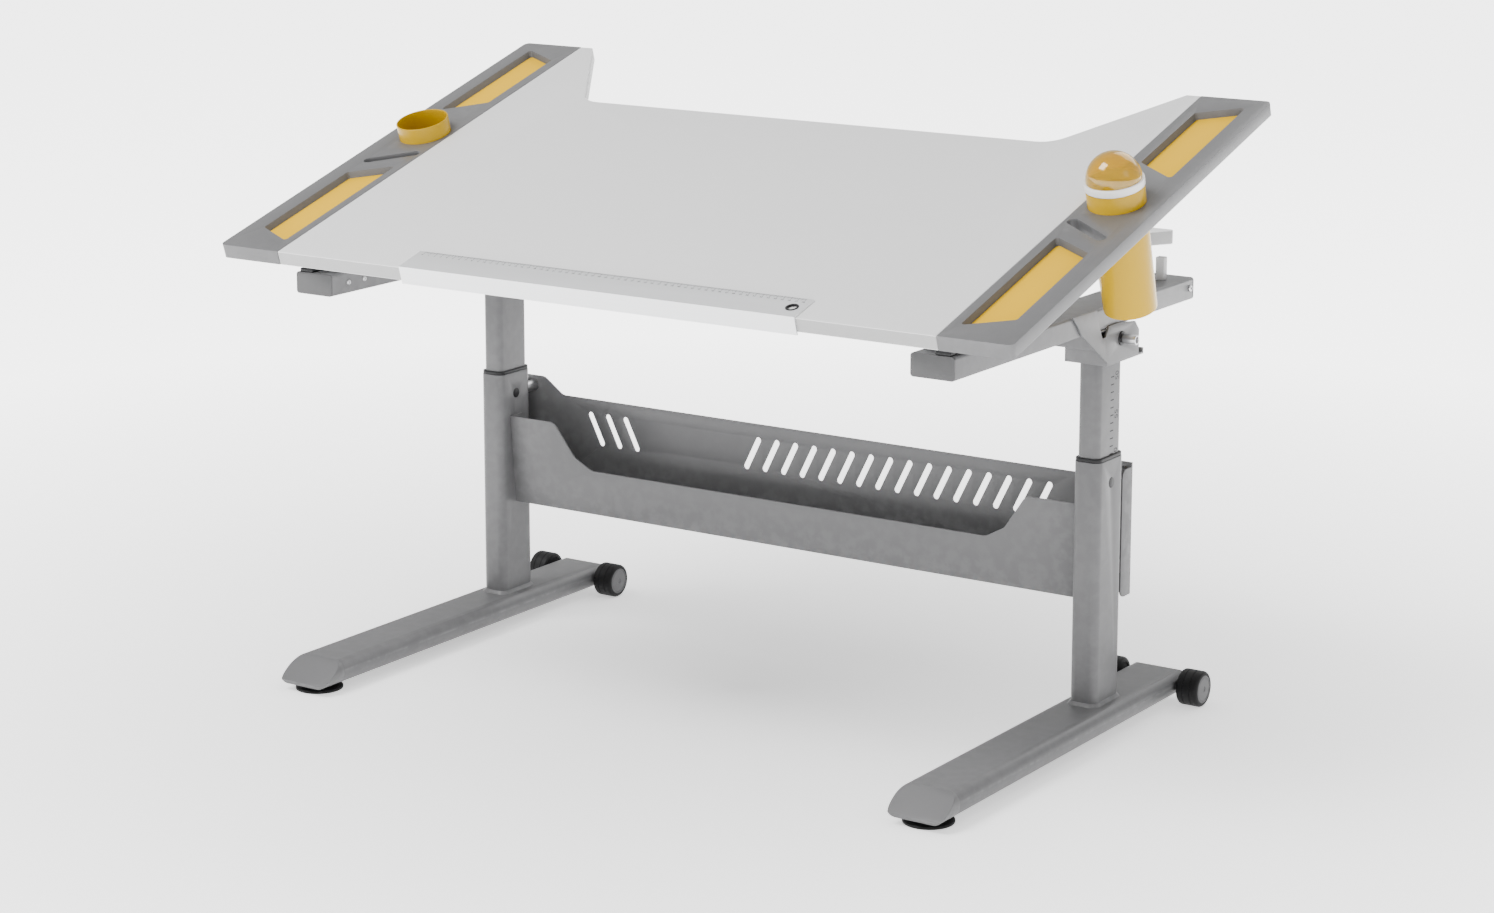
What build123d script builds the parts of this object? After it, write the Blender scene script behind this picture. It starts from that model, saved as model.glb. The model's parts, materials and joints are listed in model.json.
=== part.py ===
from build123d import *
import os
from math import atan2, cos, hypot, radians, sin

os.makedirs("parts", exist_ok=True)

# Drawing desk: a tilting board with organiser strips on a two-column lift frame.
# X runs left to right, Y front to back, Z up. The floor is Z = 0. Millimetres.

# Driving dimensions
overall_width = 1200.0
strip_width = 100.0
strip_gap = 0.6                     # shadow line between board and strip
board_depth = 700.0
board_thickness = 19.0
board_tilt = 17.0                   # degrees, at rest
board_front_y = -353.0              # top front edge of the tilted board
board_front_z = 598.0
pin_y = -287.0                      # tilt hinge axis
pin_z = 577.0
pin_radius = 4.0

column_x = 476.0                    # half the column spacing
column_y = 97.0
outer_column = (38.0, 70.0)
inner_column = (31.0, 63.0)
column_wall = 2.0
outer_column_top = 362.0
inner_column_bottom = 100.0
head_z = 490.0                      # underside of the head brackets

rail_x = 472.0
rail_width = 60.0
rail_bottom = 537.0
rail_top = 566.0
rail_front_y = -314.0
rail_rear_y = 304.0
beam_y = (30.0, 70.0)               # crossbeam, front and back face
beam_bottom = 514.0

foot_top = 42.0
foot_bottom = 10.0
foot_width = 80.0
foot_upper_round = 15.0
foot_lower_round = 14.0
foot_seam_y = -312.0
foot_front_y = -353.0
foot_rear_y = 290.0
pad_y = -318.0
stud_radius = 4.0
stud_disc_radius = 7.0
foot_wall = 4.0
foot_hollow_y = 228.0               # where the hollow in a foot ends
foot_seam = 0.3                     # line between a foot and its front cap
cap_nose_z = 17.0                   # where a cap's sloping front ends
cap_bulge = 2.2
bushing_radius = 7.5
pad_radius = 32.0
roller_y = 265.0
roller_radius = 24.0
roller_inner = 44.0                 # roller faces, from the middle of the foot
roller_outer = 75.0

crank_z = 520.0
crank_radius = 5.0
screw_radius = 7.0
bevel_gap = 0.6                     # room between the bevel gears' tips

strut_x = 418.0
strut_pivot_y = -140.0
strut_pivot_z = 548.0
strut_board_v = 500.0               # upper pivot, up the board and below its top face
strut_board_h = -32.0

tray_sheet = 2.0
tray_floor_z = 174.0
tray_back_y = 163.0
cup_u = 541.5                       # cup centre: across from the middle, and up the board
cup_v = 376.0
cup_depth = 145.0
cup_rise = 22.0
running_gap = 0.05                  # radial room of a shaft in its hole

slope = radians(board_tilt)
board_normal = (0.0, -sin(slope), cos(slope))
board_half = overall_width / 2
strip_inner = board_half - strip_width
sides = {"left": -1, "right": 1}


def board_plane(u=0.0, v=0.0, height=0.0):
    """Plane on the board: u across, v up the slope from the front edge, height off the top face."""
    y = board_front_y + v * cos(slope) - height * sin(slope)
    z = board_front_z + v * sin(slope) + height * cos(slope)
    return Plane(origin=(u, y, z), x_dir=(1, 0, 0), z_dir=board_normal)


def across(x, y=0.0, z=0.0):
    """Plane facing +X, with its first axis along +Y and its second along +Z."""
    return Plane(origin=(x, y, z), x_dir=(0, 1, 0), z_dir=(1, 0, 0))


def save(piece, label):
    piece.part.label = label
    export_step(piece.part, f"parts/{label}.step")


def block(x, y, z):
    """Box between two corners, given as (low, high) along each axis, added to the open part."""
    with Locations(((x[0] + x[1]) / 2, (y[0] + y[1]) / 2, (z[0] + z[1]) / 2)):
        Box(abs(x[1] - x[0]), y[1] - y[0], z[1] - z[0])


def rod_along_x(x, y, z, radius, mode=Mode.ADD):
    """Round bar from x[0] to x[1]."""
    with Locations(Location(((x[0] + x[1]) / 2, y, z), (0, 90, 0))):
        Cylinder(radius, abs(x[1] - x[0]), mode=mode)


def rod_along_y(x, y, z, radius, mode=Mode.ADD):
    """Round bar from y[0] to y[1]."""
    with Locations(Location((x, (y[0] + y[1]) / 2, z), (90, 0, 0))):
        Cylinder(radius, y[1] - y[0], mode=mode)


def rod_along_z(x, y, z, radius, mode=Mode.ADD):
    """Round bar from z[0] to z[1]."""
    with Locations((x, y, (z[0] + z[1]) / 2)):
        Cylinder(radius, z[1] - z[0], mode=mode)


# Feet
def foot_outline(x, y, inset=0.0):
    """Foot section facing +Y: flat top and underside between full round sides."""
    middle_z = (foot_top + foot_bottom) / 2
    with BuildSketch(Plane(origin=(x, y, 0), x_dir=(1, 0, 0), z_dir=(0, 1, 0))) as section:
        with Locations((0, -middle_z)):
            Rectangle(foot_width, foot_top - foot_bottom)
        fillet(section.vertices().group_by(Axis.Y)[0], radius=foot_upper_round)
        fillet(section.vertices().group_by(Axis.Y)[-1], radius=foot_lower_round)
        if inset:
            offset(amount=-inset, mode=Mode.REPLACE)
    return section.sketch


for side, sign in sides.items():
    foot_x = sign * column_x
    with BuildPart() as foot_beam:
        extrude(foot_outline(foot_x, foot_seam_y), amount=foot_rear_y - foot_seam_y)
        with BuildSketch(across(foot_x)) as profile:
            with Locations(((foot_seam_y + foot_rear_y) / 2, foot_top / 2)):
                Rectangle(foot_rear_y - foot_seam_y, foot_top)
            rear_corners = profile.vertices().group_by(Axis.X)[-1].sort_by(Axis.Y)
            fillet(rear_corners, radius=19)
        extrude(amount=60, both=True, mode=Mode.INTERSECT)
        extrude(
            foot_outline(foot_x, foot_seam_y, foot_wall), amount=foot_hollow_y - foot_seam_y, mode=Mode.SUBTRACT
        )
        rod_along_x((foot_x - 50, foot_x + 50), roller_y, roller_radius, bushing_radius, mode=Mode.SUBTRACT)
    save(foot_beam, f"foot_beam_{side}")


def foot_cap(foot_x):
    """Solid end piece: its front slopes down from the seam, and its corners are round in plan."""
    seam_y = foot_seam_y - foot_seam
    length = seam_y - foot_front_y
    with BuildPart() as cap:
        extrude(foot_outline(foot_x, foot_front_y), amount=length)
        with BuildSketch(across(foot_x)) as profile:
            with BuildLine():
                Polyline(
                    (foot_front_y, cap_nose_z), (foot_front_y, foot_bottom), (seam_y, foot_bottom),
                    (seam_y, foot_top),
                )
                ThreePointArc(
                    (seam_y, foot_top),
                    ((seam_y + foot_front_y) / 2 - cap_bulge, (foot_top + cap_nose_z) / 2 + cap_bulge),
                    (foot_front_y, cap_nose_z),
                )
            make_face()
            fillet(profile.vertices().group_by(Axis.X)[0], radius=3)
        extrude(amount=foot_width, both=True, mode=Mode.INTERSECT)
        with BuildSketch(Plane.XY) as plan:
            with Locations((foot_x, foot_front_y + length / 2)):
                Rectangle(foot_width + 1, length)
            fillet(plan.vertices().group_by(Axis.Y)[0], radius=16)
        extrude(amount=foot_top + 1, mode=Mode.INTERSECT)
        rod_along_z(foot_x, pad_y, (0, 33), stud_radius, mode=Mode.SUBTRACT)
    return cap.part


with BuildPart() as foot_caps:
    for sign in sides.values():
        add(foot_cap(sign * column_x))
save(foot_caps, "foot_caps")

# Levelling pads turn on studs that are screwed up into the foot caps.
with BuildPart() as foot_studs:
    for sign in sides.values():
        rod_along_z(sign * column_x, pad_y, (3.5, 33), stud_radius)
        rod_along_z(sign * column_x, pad_y, (3.5, 4.9), stud_disc_radius)
save(foot_studs, "foot_studs")

for side, sign in sides.items():
    pad_x = sign * column_x
    with BuildPart() as foot_pad:
        rod_along_z(pad_x, pad_y, (0, 6), pad_radius)
        chamfer(foot_pad.edges().group_by(Axis.Z)[-1], length=2.5, length2=7.0)
        rod_along_z(pad_x, pad_y, (5, 9), 11.0)
        rod_along_z(pad_x, pad_y, (5, 10), stud_radius + running_gap, mode=Mode.SUBTRACT)
        rod_along_z(pad_x, pad_y, (3.2, 5.2), stud_disc_radius + running_gap, mode=Mode.SUBTRACT)
    save(foot_pad, f"foot_pad_{side}")

# Rollers
with BuildPart() as axle_bushings:
    for sign in sides.values():
        for end in (-1, 1):
            inner = sign * column_x + end * 26
            outer = sign * column_x + end * 42
            rod_along_x((inner, outer), roller_y, roller_radius, bushing_radius)
            rod_along_x((inner, outer), roller_y, roller_radius, 4.0 + running_gap, mode=Mode.SUBTRACT)
save(axle_bushings, "axle_bushings")

for side, sign in sides.items():
    foot_x = sign * column_x
    with BuildPart() as roller_axle:
        rod_along_x((foot_x - 70, foot_x + 70), roller_y, roller_radius, 4.0)
    save(roller_axle, f"roller_axle_{side}")
    with BuildPart() as rollers:
        for end in (-1, 1):
            inner = foot_x + end * roller_inner
            outer = foot_x + end * roller_outer
            with Locations(Location(((inner + outer) / 2, roller_y, roller_radius), (0, 90, 0))):
                Cylinder(roller_radius, roller_outer - roller_inner)
        fillet(rollers.edges().filter_by(GeomType.CIRCLE), radius=4.5)
        for end in (-1, 1):
            outer = foot_x + end * roller_outer
            rod_along_x((foot_x + end * 30, foot_x + end * 70), roller_y, roller_radius, 4.0, mode=Mode.SUBTRACT)
            rod_along_x((outer - end * 3, outer), roller_y, roller_radius, 18.6, mode=Mode.SUBTRACT)
    save(rollers, f"rollers_{side}")
    with BuildPart() as hub_caps:
        for end in (-1, 1):
            outer = foot_x + end * roller_outer
            rod_along_x((outer - end * 3, outer), roller_y, roller_radius, 18.6)
    save(hub_caps, f"hub_caps_{side}")

# Columns
for side, sign in sides.items():
    x = sign * column_x
    with BuildPart() as outer_tube:
        with BuildSketch(Plane.XY.offset(foot_top)):
            with Locations((x, column_y)):
                RectangleRounded(*outer_column, 11)
                RectangleRounded(
                    outer_column[0] - 2 * column_wall, outer_column[1] - 2 * column_wall, 9, mode=Mode.SUBTRACT
                )
        extrude(amount=outer_column_top - foot_top)
        rod_along_x((x - 25, x + 25), column_y, 332, 7.0, mode=Mode.SUBTRACT)
    save(outer_tube, f"outer_column_{side}")

    with BuildPart() as inner_tube:
        with BuildSketch(Plane.XY.offset(inner_column_bottom)):
            with Locations((x, column_y)):
                RectangleRounded(*inner_column, 9)
                RectangleRounded(
                    inner_column[0] - 2 * column_wall, inner_column[1] - 2 * column_wall, 7, mode=Mode.SUBTRACT
                )
        extrude(amount=head_z - inner_column_bottom)
    save(inner_tube, f"inner_column_{side}")

with BuildPart() as column_plugs:
    for sign in sides.values():
        for end in (-1, 1):
            face = sign * column_x + end * outer_column[0] / 2
            rod_along_x((face - end * column_wall, face), column_y, 332, 7.0)
save(column_plugs, "column_plugs")

# Guide collars: a rim on the outer column's end and a sleeve down its inside.
with BuildPart() as column_collars:
    for sign in sides.values():
        for height, width, depth, corner in (
            (5.0, outer_column[0] - 1, outer_column[1] - 1, 10.5),
            (-40.0, outer_column[0] - 4.2, outer_column[1] - 4.2, 8.9),
        ):
            with BuildSketch(Plane.XY.offset(outer_column_top)):
                with Locations((sign * column_x, column_y)):
                    RectangleRounded(width, depth, corner)
                    RectangleRounded(inner_column[0] + 0.6, inner_column[1] + 0.6, 9.3, mode=Mode.SUBTRACT)
            extrude(amount=height)
save(column_collars, "column_collars")

with BuildPart() as nut_posts:
    for sign in sides.values():
        rod_along_z(sign * column_x, column_y, (foot_top, 290), 11.0)
        rod_along_z(sign * column_x, column_y, (foot_top, 290), 8.5, mode=Mode.SUBTRACT)
save(nut_posts, "nut_posts")

with BuildPart() as lift_nuts:
    for sign in sides.values():
        rod_along_z(sign * column_x, column_y, (290, 320), 11.0)
        rod_along_z(sign * column_x, column_y, (290, 320), screw_radius + running_gap, mode=Mode.SUBTRACT)
save(lift_nuts, "lift_nuts")

# Cross tray
tray_end = column_x - outer_column[0] / 2 - 0.4
back_end = 490.0
tray_front_low = (93.0, tray_floor_z)       # foot of the leaning front panel, (y, z)
tray_front_high = (81.0, 301.0)             # its top edge, at the raised ends
lean = atan2(tray_front_low[0] - tray_front_high[0], tray_front_high[1] - tray_front_low[1])
front_height = (tray_front_high[1] - tray_front_low[1]) / cos(lean)
back_low_z = 320.5                          # the back panel's top edge between its raised ends
slot_pitch = 30.5
slot_length = 52.5
slot_width = 9.0
slot_lean = 26.5
slot_z = 278.0
left_slots = 3
right_slots = 16
first_left_slot_x = -364.5
first_right_slot_x = -97.0

with BuildPart() as cross_tray:
    with BuildSketch(Plane.XZ.offset(-tray_back_y)) as back_panel:
        with BuildLine():
            Polyline(
                (-back_end, tray_floor_z - 5), (back_end, tray_floor_z - 5), (back_end, 344), (457, 344),
                (424, back_low_z), (-424, back_low_z), (-457, 344), (-back_end, 344), close=True,
            )
        make_face()
        bends = back_panel.vertices().group_by(Axis.Y)[-1].sort_by(Axis.X)[1:3]
        bends += back_panel.vertices().group_by(Axis.Y)[-2]
        fillet(bends, radius=14)
        with Locations(*[(first_left_slot_x + slot_pitch * k, slot_z) for k in range(left_slots)]):
            SlotOverall(slot_length, slot_width, rotation=90 + slot_lean, mode=Mode.SUBTRACT)
        with Locations(*[(first_right_slot_x + slot_pitch * k, slot_z) for k in range(right_slots)]):
            SlotOverall(slot_length, slot_width, rotation=90 - slot_lean, mode=Mode.SUBTRACT)
    extrude(amount=-tray_sheet)
    for end in (-1, 1):
        with BuildSketch(across(end * back_end)) as ear:
            with Locations(((138 + tray_back_y) / 2, (169 + 338) / 2)):
                RectangleRounded(tray_back_y - 138, 338 - 169, 10)
            with Locations((tray_back_y - 6, (169 + 338) / 2)):
                Rectangle(12, 338 - 169)
        extrude(amount=-end * tray_sheet)
    block((-tray_end, tray_end), (tray_front_low[0], tray_back_y), (tray_floor_z, tray_floor_z + tray_sheet))
    front_plane = Plane(
        origin=(0, *tray_front_low), x_dir=(1, 0, 0), z_dir=(0, -cos(lean), -sin(lean))
    )
    with BuildSketch(front_plane) as front_panel:
        with BuildLine():
            Polyline(
                (-tray_end, 0), (tray_end, 0), (tray_end, front_height), (380, front_height), (347, 80),
                (318, 64), (-318, 64), (-347, 80), (-380, front_height), (-tray_end, front_height), close=True,
            )
        make_face()
        bends = front_panel.vertices().group_by(Axis.Y)[-1].sort_by(Axis.X)[1:3]
        bends += front_panel.vertices().group_by(Axis.Y)[-2]
        bends += front_panel.vertices().group_by(Axis.Y)[-3]
        fillet(bends, radius=14)
    extrude(amount=-tray_sheet)
    for end in (-1, 1):
        with BuildSketch(across(end * tray_end)):
            with BuildLine():
                Polyline(
                    tray_front_low, tray_front_high, (tray_front_high[0] + 26, tray_front_high[1]),
                    (tray_front_low[0] + 26, tray_floor_z), close=True,
                )
            make_face()
        extrude(amount=-end * tray_sheet)
save(cross_tray, "cross_tray")

column_back_y = column_y + outer_column[1] / 2
with BuildPart() as tray_spacers:
    for sign in sides.values():
        for z in (205, 330):
            rod_along_y(sign * column_x, (column_back_y, tray_back_y), z, 8.0)
save(tray_spacers, "tray_spacers")

with BuildPart() as tray_bolts:
    for sign in sides.values():
        for z in (205, 330):
            with Locations(Location((sign * column_x, tray_back_y + tray_sheet, z), (-90, 0, 0))):
                Cylinder(7.0, 4.0, align=(Align.CENTER, Align.CENTER, Align.MIN))
save(tray_bolts, "tray_bolts")

# Head brackets
rail_inner = rail_x - rail_width / 2
rail_outer = rail_x + rail_width / 2
plate = 3.0

for side, sign in sides.items():
    inner = rail_inner + 3
    outer = rail_outer + 0.2 + plate
    with BuildPart() as head_bracket:
        block((sign * inner, sign * outer), (59, 158), (head_z, head_z + plate))
        block((sign * inner, sign * outer), (59, 62), (head_z, beam_bottom))
        block((sign * inner, sign * outer), (155, 158), (head_z, head_z + 8))
        block((sign * inner, sign * (inner + plate)), (beam_y[1], 158), (head_z, rail_bottom))
        with BuildSketch(across(sign * outer)) as cheek:
            with BuildLine():
                Polyline(
                    (66, head_z), (145, head_z), (145, 524), (134, 536), (92, 541), (63, 541), (55, 528),
                    (46, 528), (36, 546), (30, rail_top + 1), (-33, rail_top + 1), (-19, 553), (-9, 541),
                    close=True,
                )
            make_face()
        extrude(amount=-sign * plate)
        rod_along_x((sign * (inner - 5), sign * (outer + 5)), column_y, crank_z, 9.0, mode=Mode.SUBTRACT)
        rod_along_z(sign * column_x, column_y, (head_z - 1, head_z + plate + 1), 9.0, mode=Mode.SUBTRACT)
    save(head_bracket, f"head_bracket_{side}")

with BuildPart() as crossbeam:
    with BuildSketch(Plane.YZ.offset(-rail_outer)):
        with Locations(((beam_y[0] + beam_y[1]) / 2, (beam_bottom + rail_bottom) / 2)):
            RectangleRounded(beam_y[1] - beam_y[0], rail_bottom - beam_bottom, 3)
            RectangleRounded(beam_y[1] - beam_y[0] - 4, rail_bottom - beam_bottom - 4, 1.5, mode=Mode.SUBTRACT)
    extrude(amount=2 * rail_outer)
save(crossbeam, "crossbeam")

# Rails
rail_height = rail_top - rail_bottom
cap_thickness = 3.0
rail_mid_z = (rail_top + rail_bottom) / 2
for side, sign in sides.items():
    with BuildPart() as rail:
        with BuildSketch(Plane.XZ.offset(-rail_rear_y + cap_thickness)):
            with Locations((sign * rail_x, rail_mid_z)):
                RectangleRounded(rail_width, rail_height, 4)
                RectangleRounded(rail_width - 4, rail_height - 4, 2, mode=Mode.SUBTRACT)
        extrude(amount=rail_rear_y - rail_front_y - 2 * cap_thickness)
    save(rail, f"rail_{side}")

with BuildPart() as rail_end_caps:
    for sign in sides.values():
        for y, inward in ((rail_front_y, -1), (rail_rear_y, 1)):
            with BuildSketch(Plane.XZ.offset(-y)):
                with Locations((sign * rail_x, rail_mid_z)):
                    RectangleRounded(rail_width, rail_height, 4)
            extrude(amount=inward * cap_thickness)
            with BuildSketch(Plane.XZ.offset(-y)):
                with Locations((sign * rail_x, rail_mid_z)):
                    RectangleRounded(rail_width - 4, rail_height - 4, 2)
            extrude(amount=inward * 12)
save(rail_end_caps, "rail_end_caps")

with BuildPart() as rail_screws:
    for sign in sides.values():
        rod_along_x((sign * rail_outer, sign * (rail_outer + 2)), 293, 553, 4.5)
        for y in (-280, -248):
            rod_along_x((sign * rail_inner, sign * (rail_inner - 2)), y, 552, 3.5)
save(rail_screws, "rail_screws")

with BuildPart() as front_bumpers:
    for sign in sides.values():
        block((sign * (rail_x + 3), sign * (rail_x + 24)), (-313, -300), (rail_top, rail_top + 5))
save(front_bumpers, "front_bumpers")

# Hinges at the front of the rails
with BuildPart() as hinge_blocks:
    for sign in sides.values():
        x = (sign * rail_x, sign * (rail_x + 26))
        block(x, (pin_y - 9, pin_y + 9), (rail_top, pin_z))
        rod_along_x(x, pin_y, pin_z, 9.0)
        rod_along_x(x, pin_y, pin_z, pin_radius + running_gap, mode=Mode.SUBTRACT)
save(hinge_blocks, "hinge_blocks")

# The board's height above the pin is the same at every tilt.
pin_from_front_v = (pin_y - board_front_y) * cos(slope) + (pin_z - board_front_z) * sin(slope)
pin_below_top = -(pin_y - board_front_y) * sin(slope) + (pin_z - board_front_z) * cos(slope)
under_board = -board_thickness

with BuildPart() as board_hinges:
    for sign in sides.values():
        x = (sign * (rail_x - 28), sign * (rail_x - 0.5))
        leaf_middle = (x[0] + x[1]) / 2
        with BuildSketch(board_plane(leaf_middle, pin_from_front_v + 8, under_board)):
            Rectangle(abs(x[1] - x[0]), 56)
        extrude(amount=-3)
        with BuildSketch(board_plane(leaf_middle, pin_from_front_v, under_board)):
            Rectangle(abs(x[1] - x[0]), 12)
        extrude(amount=pin_below_top - under_board)
        rod_along_x(x, pin_y, pin_z, 9.0)
        rod_along_x((x[0], sign * (rail_x + 28)), pin_y, pin_z, pin_radius)
save(board_hinges, "board_hinges")

# Rear shelf and its supports
flat_front_y = pin_y - pin_from_front_v             # the board's front edge when it lies flat
flat_under_z = pin_z + under_board - pin_below_top  # and its underside
recess_v = 525.0
recess_front_half = 371.0
recess_rear_half = 479.0
flare = (recess_rear_half - recess_front_half) / (board_depth - recess_v)
shelf_rear_y = 356.0
shelf_front_y = 206.0
shelf_rear_half = 449.0
shelf_front_half = shelf_rear_half - flare * (shelf_rear_y - shelf_front_y)

with BuildPart() as rear_shelf:
    with BuildSketch(Plane.XY.offset(flat_under_z)) as shelf_outline:
        with BuildLine():
            Polyline(
                (-shelf_front_half, shelf_front_y), (shelf_front_half, shelf_front_y),
                (shelf_rear_half, shelf_rear_y), (-shelf_rear_half, shelf_rear_y), close=True,
            )
        make_face()
        fillet(shelf_outline.vertices().group_by(Axis.Y)[0], radius=40)
        fillet(shelf_outline.vertices().group_by(Axis.Y)[-1], radius=4)
    extrude(amount=board_thickness)
save(rear_shelf, "rear_shelf")

with BuildPart() as shelf_brackets:
    for sign in sides.values():
        block((sign * (rail_inner - 3), sign * rail_inner), (262, 300), (rail_bottom + 3, flat_under_z - 5))
        block((sign * 370, sign * rail_inner), (262, 300), (flat_under_z - 8, flat_under_z - 5))
        block((sign * 370, sign * 388), (262, 300), (flat_under_z - 8, flat_under_z))
save(shelf_brackets, "shelf_brackets")

with BuildPart() as rest_posts:
    for sign in sides.values():
        block((sign * 469, sign * 481), (258, 268), (rail_top, flat_under_z - 0.6))
    fillet(rest_posts.edges().group_by(Axis.Z)[-1], radius=1.5)
save(rest_posts, "rest_posts")

# Crank, lead screws and bevel gears
crank_bearing_x = [rail_outer + 0.2, rail_inner + 3]

with BuildPart() as shaft_bushings:
    for sign in sides.values():
        for x in crank_bearing_x:
            ends = (sign * (x - 1), sign * (x + plate + 1.5))
            rod_along_x(ends, column_y, crank_z, 9.0)
            rod_along_x(ends, column_y, crank_z, crank_radius + running_gap, mode=Mode.SUBTRACT)
        screw_bearing_z = (head_z - 6, head_z + plate)
        rod_along_z(sign * column_x, column_y, screw_bearing_z, 9.0)
        rod_along_z(sign * column_x, column_y, screw_bearing_z, screw_radius + running_gap, mode=Mode.SUBTRACT)
save(shaft_bushings, "shaft_bushings")

crank_end = rail_outer + 25
socket_depth = 12.0                 # open socket for a removable crank handle
socket_radius = 4.0

with BuildPart() as crank_shaft:
    rod_along_x((-rail_outer - 6, rail_outer + 6), column_y, crank_z, crank_radius)
    rod_along_x((rail_outer + 6, crank_end), column_y, crank_z, 6.5)
    rod_along_x((crank_end - socket_depth, crank_end), column_y, crank_z, socket_radius, mode=Mode.SUBTRACT)
save(crank_shaft, "crank_shaft")

bevel_far = 15.0                    # gear faces, from the point where the two axes meet
bevel_near = 10.0
teeth = 16
tooth_depth = 3.0


def tooth_gaps(plane):
    """Grooves round a bevel gear's cone."""
    with BuildSketch(plane) as gaps:
        with PolarLocations(bevel_far, teeth):
            Rectangle(7.0, 2.0)
    return gaps.sketch


with BuildPart() as crank_gears:
    for sign in sides.values():
        axis_x = sign * column_x
        with Locations(Location((axis_x - (bevel_far + bevel_near) / 2, column_y, crank_z), (0, 90, 0))):
            Cone(bevel_far - bevel_gap, bevel_near - bevel_gap, bevel_far - bevel_near)
        rod_along_x((axis_x - 21, axis_x - bevel_far), column_y, crank_z, 8.5)
        gaps = tooth_gaps(across(axis_x - bevel_far, column_y, crank_z))
        extrude(gaps, amount=tooth_depth, mode=Mode.SUBTRACT)
        rod_along_x((axis_x - 22, axis_x), column_y, crank_z, crank_radius, mode=Mode.SUBTRACT)
save(crank_gears, "crank_gears")

# Each lead screw carries its bevel gear, a separate solid on the top end.
for side, sign in sides.items():
    x = sign * column_x
    screw_top = crank_z - bevel_near - 1
    with BuildPart() as screw_gear:
        with Locations((x, column_y, crank_z - (bevel_far + bevel_near) / 2)):
            Cone(bevel_far - bevel_gap, bevel_near - bevel_gap, bevel_far - bevel_near)
        rod_along_z(x, column_y, (head_z + plate + 1, crank_z - bevel_far), 9.0)
        gaps = tooth_gaps(Plane(origin=(x, column_y, crank_z - bevel_far), x_dir=(1, 0, 0), z_dir=(0, 0, 1)))
        extrude(gaps, amount=tooth_depth, mode=Mode.SUBTRACT)
        rod_along_z(x, column_y, (head_z, crank_z), screw_radius, mode=Mode.SUBTRACT)
    with BuildPart() as lead_screw:
        rod_along_z(x, column_y, (105, screw_top), screw_radius)
    lead_screw.part = Compound([lead_screw.part.solids()[0], screw_gear.part.solids()[0]])
    save(lead_screw, f"lead_screw_{side}")

# Drawing board
with BuildPart() as drawing_board:
    with BuildSketch(board_plane()) as board_outline:
        with BuildLine():
            Polyline(
                (-strip_inner + strip_gap, 0), (strip_inner - strip_gap, 0),
                (strip_inner - strip_gap, board_depth), (recess_rear_half, board_depth),
                (recess_front_half, recess_v), (-recess_front_half, recess_v),
                (-recess_rear_half, board_depth), (-strip_inner + strip_gap, board_depth), close=True,
            )
        make_face()
        recess_corners = board_outline.vertices().filter_by_position(Axis.Y, recess_v - 1, recess_v + 1)
        fillet(recess_corners, radius=40)
    extrude(amount=-board_thickness)
save(drawing_board, "drawing_board")

# Side strips
tray_recess = 11.0
floor_inset = 1.5                   # the trays' walls slope in by this much
mat_thickness = 2.0
cup_hole_radius = 36.75
front_tray = [(513, 32), (513, 272), (573, 239), (573, 60)]
rear_tray = [(516, 492), (516, 647), (575, 676), (575, 455)]
slot_centre = (540.0, 298.0)        # the long hole between the front tray and the cup
slot_size = (80.0, 15.5)
slot_turn = 32.0


def tray_opening(points, sign, height, inset=0.0):
    """Trapezoid tray outline at a height on the board, its corners rounded."""
    with BuildSketch(board_plane(height=height)) as opening:
        with BuildLine():
            Polyline(*[(sign * u, v) for u, v in points], close=True)
        make_face()
        if inset:
            offset(amount=-inset, kind=Kind.INTERSECTION, mode=Mode.REPLACE)
        fillet(opening.vertices(), radius=4)
    return opening.sketch


for side, sign in sides.items():
    section_plane = Plane(
        origin=board_plane().origin, x_dir=(1, 0, 0), z_dir=(0, -cos(slope), -sin(slope))
    )
    with BuildPart() as side_strip:
        with BuildSketch(section_plane) as strip_section:
            with Locations((sign * (strip_inner + strip_width / 2), -board_thickness / 2)):
                Rectangle(strip_width, board_thickness)
            outer_corners = strip_section.vertices().sort_by(lambda corner: sign * corner.X)[-2:]
            upper_corner = outer_corners.sort_by(Axis.Y)[-1]
            lower_corner = outer_corners.sort_by(Axis.Y)[0]
            fillet(lower_corner, radius=4)
            fillet(upper_corner, radius=13)
        extrude(amount=-board_depth)
        with BuildSketch(board_plane(height=1.0)) as strip_plan:
            with Locations((sign * (strip_inner + strip_width / 2), board_depth / 2)):
                Rectangle(strip_width, board_depth)
            fillet(strip_plan.vertices().sort_by(lambda corner: sign * corner.X)[-2:], radius=8)
        extrude(amount=-board_thickness - 2, mode=Mode.INTERSECT)
        for points in (front_tray, rear_tray):
            mouth = tray_opening(points, sign, 0.0)
            floor = tray_opening(points, sign, -tray_recess, inset=floor_inset)
            loft(sections=[mouth, floor], mode=Mode.SUBTRACT)
        with BuildSketch(board_plane(sign * slot_centre[0], slot_centre[1])):
            SlotOverall(*slot_size, rotation=-sign * slot_turn)
        extrude(amount=-board_thickness, mode=Mode.SUBTRACT)
        with BuildSketch(board_plane(sign * cup_u, cup_v)):
            Circle(cup_hole_radius)
        extrude(amount=-board_thickness, mode=Mode.SUBTRACT)
    save(side_strip, f"side_strip_{side}")

with BuildPart() as tray_mats:
    for sign in sides.values():
        for points in (front_tray, rear_tray):
            extrude(tray_opening(points, sign, -tray_recess, inset=floor_inset + 0.4), amount=mat_thickness)
save(tray_mats, "tray_mats")

with BuildPart() as joining_plates:
    for sign in sides.values():
        for v in (140, 450):
            with BuildSketch(board_plane(sign * strip_inner, v, under_board)):
                RectangleRounded(56, 40, 5)
            extrude(amount=-2)
save(joining_plates, "joining_plates")

# Cups
cup_wall = 2.0
cup_foot_radius = 33.5
cup_mouth_radius = 36.8


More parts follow.
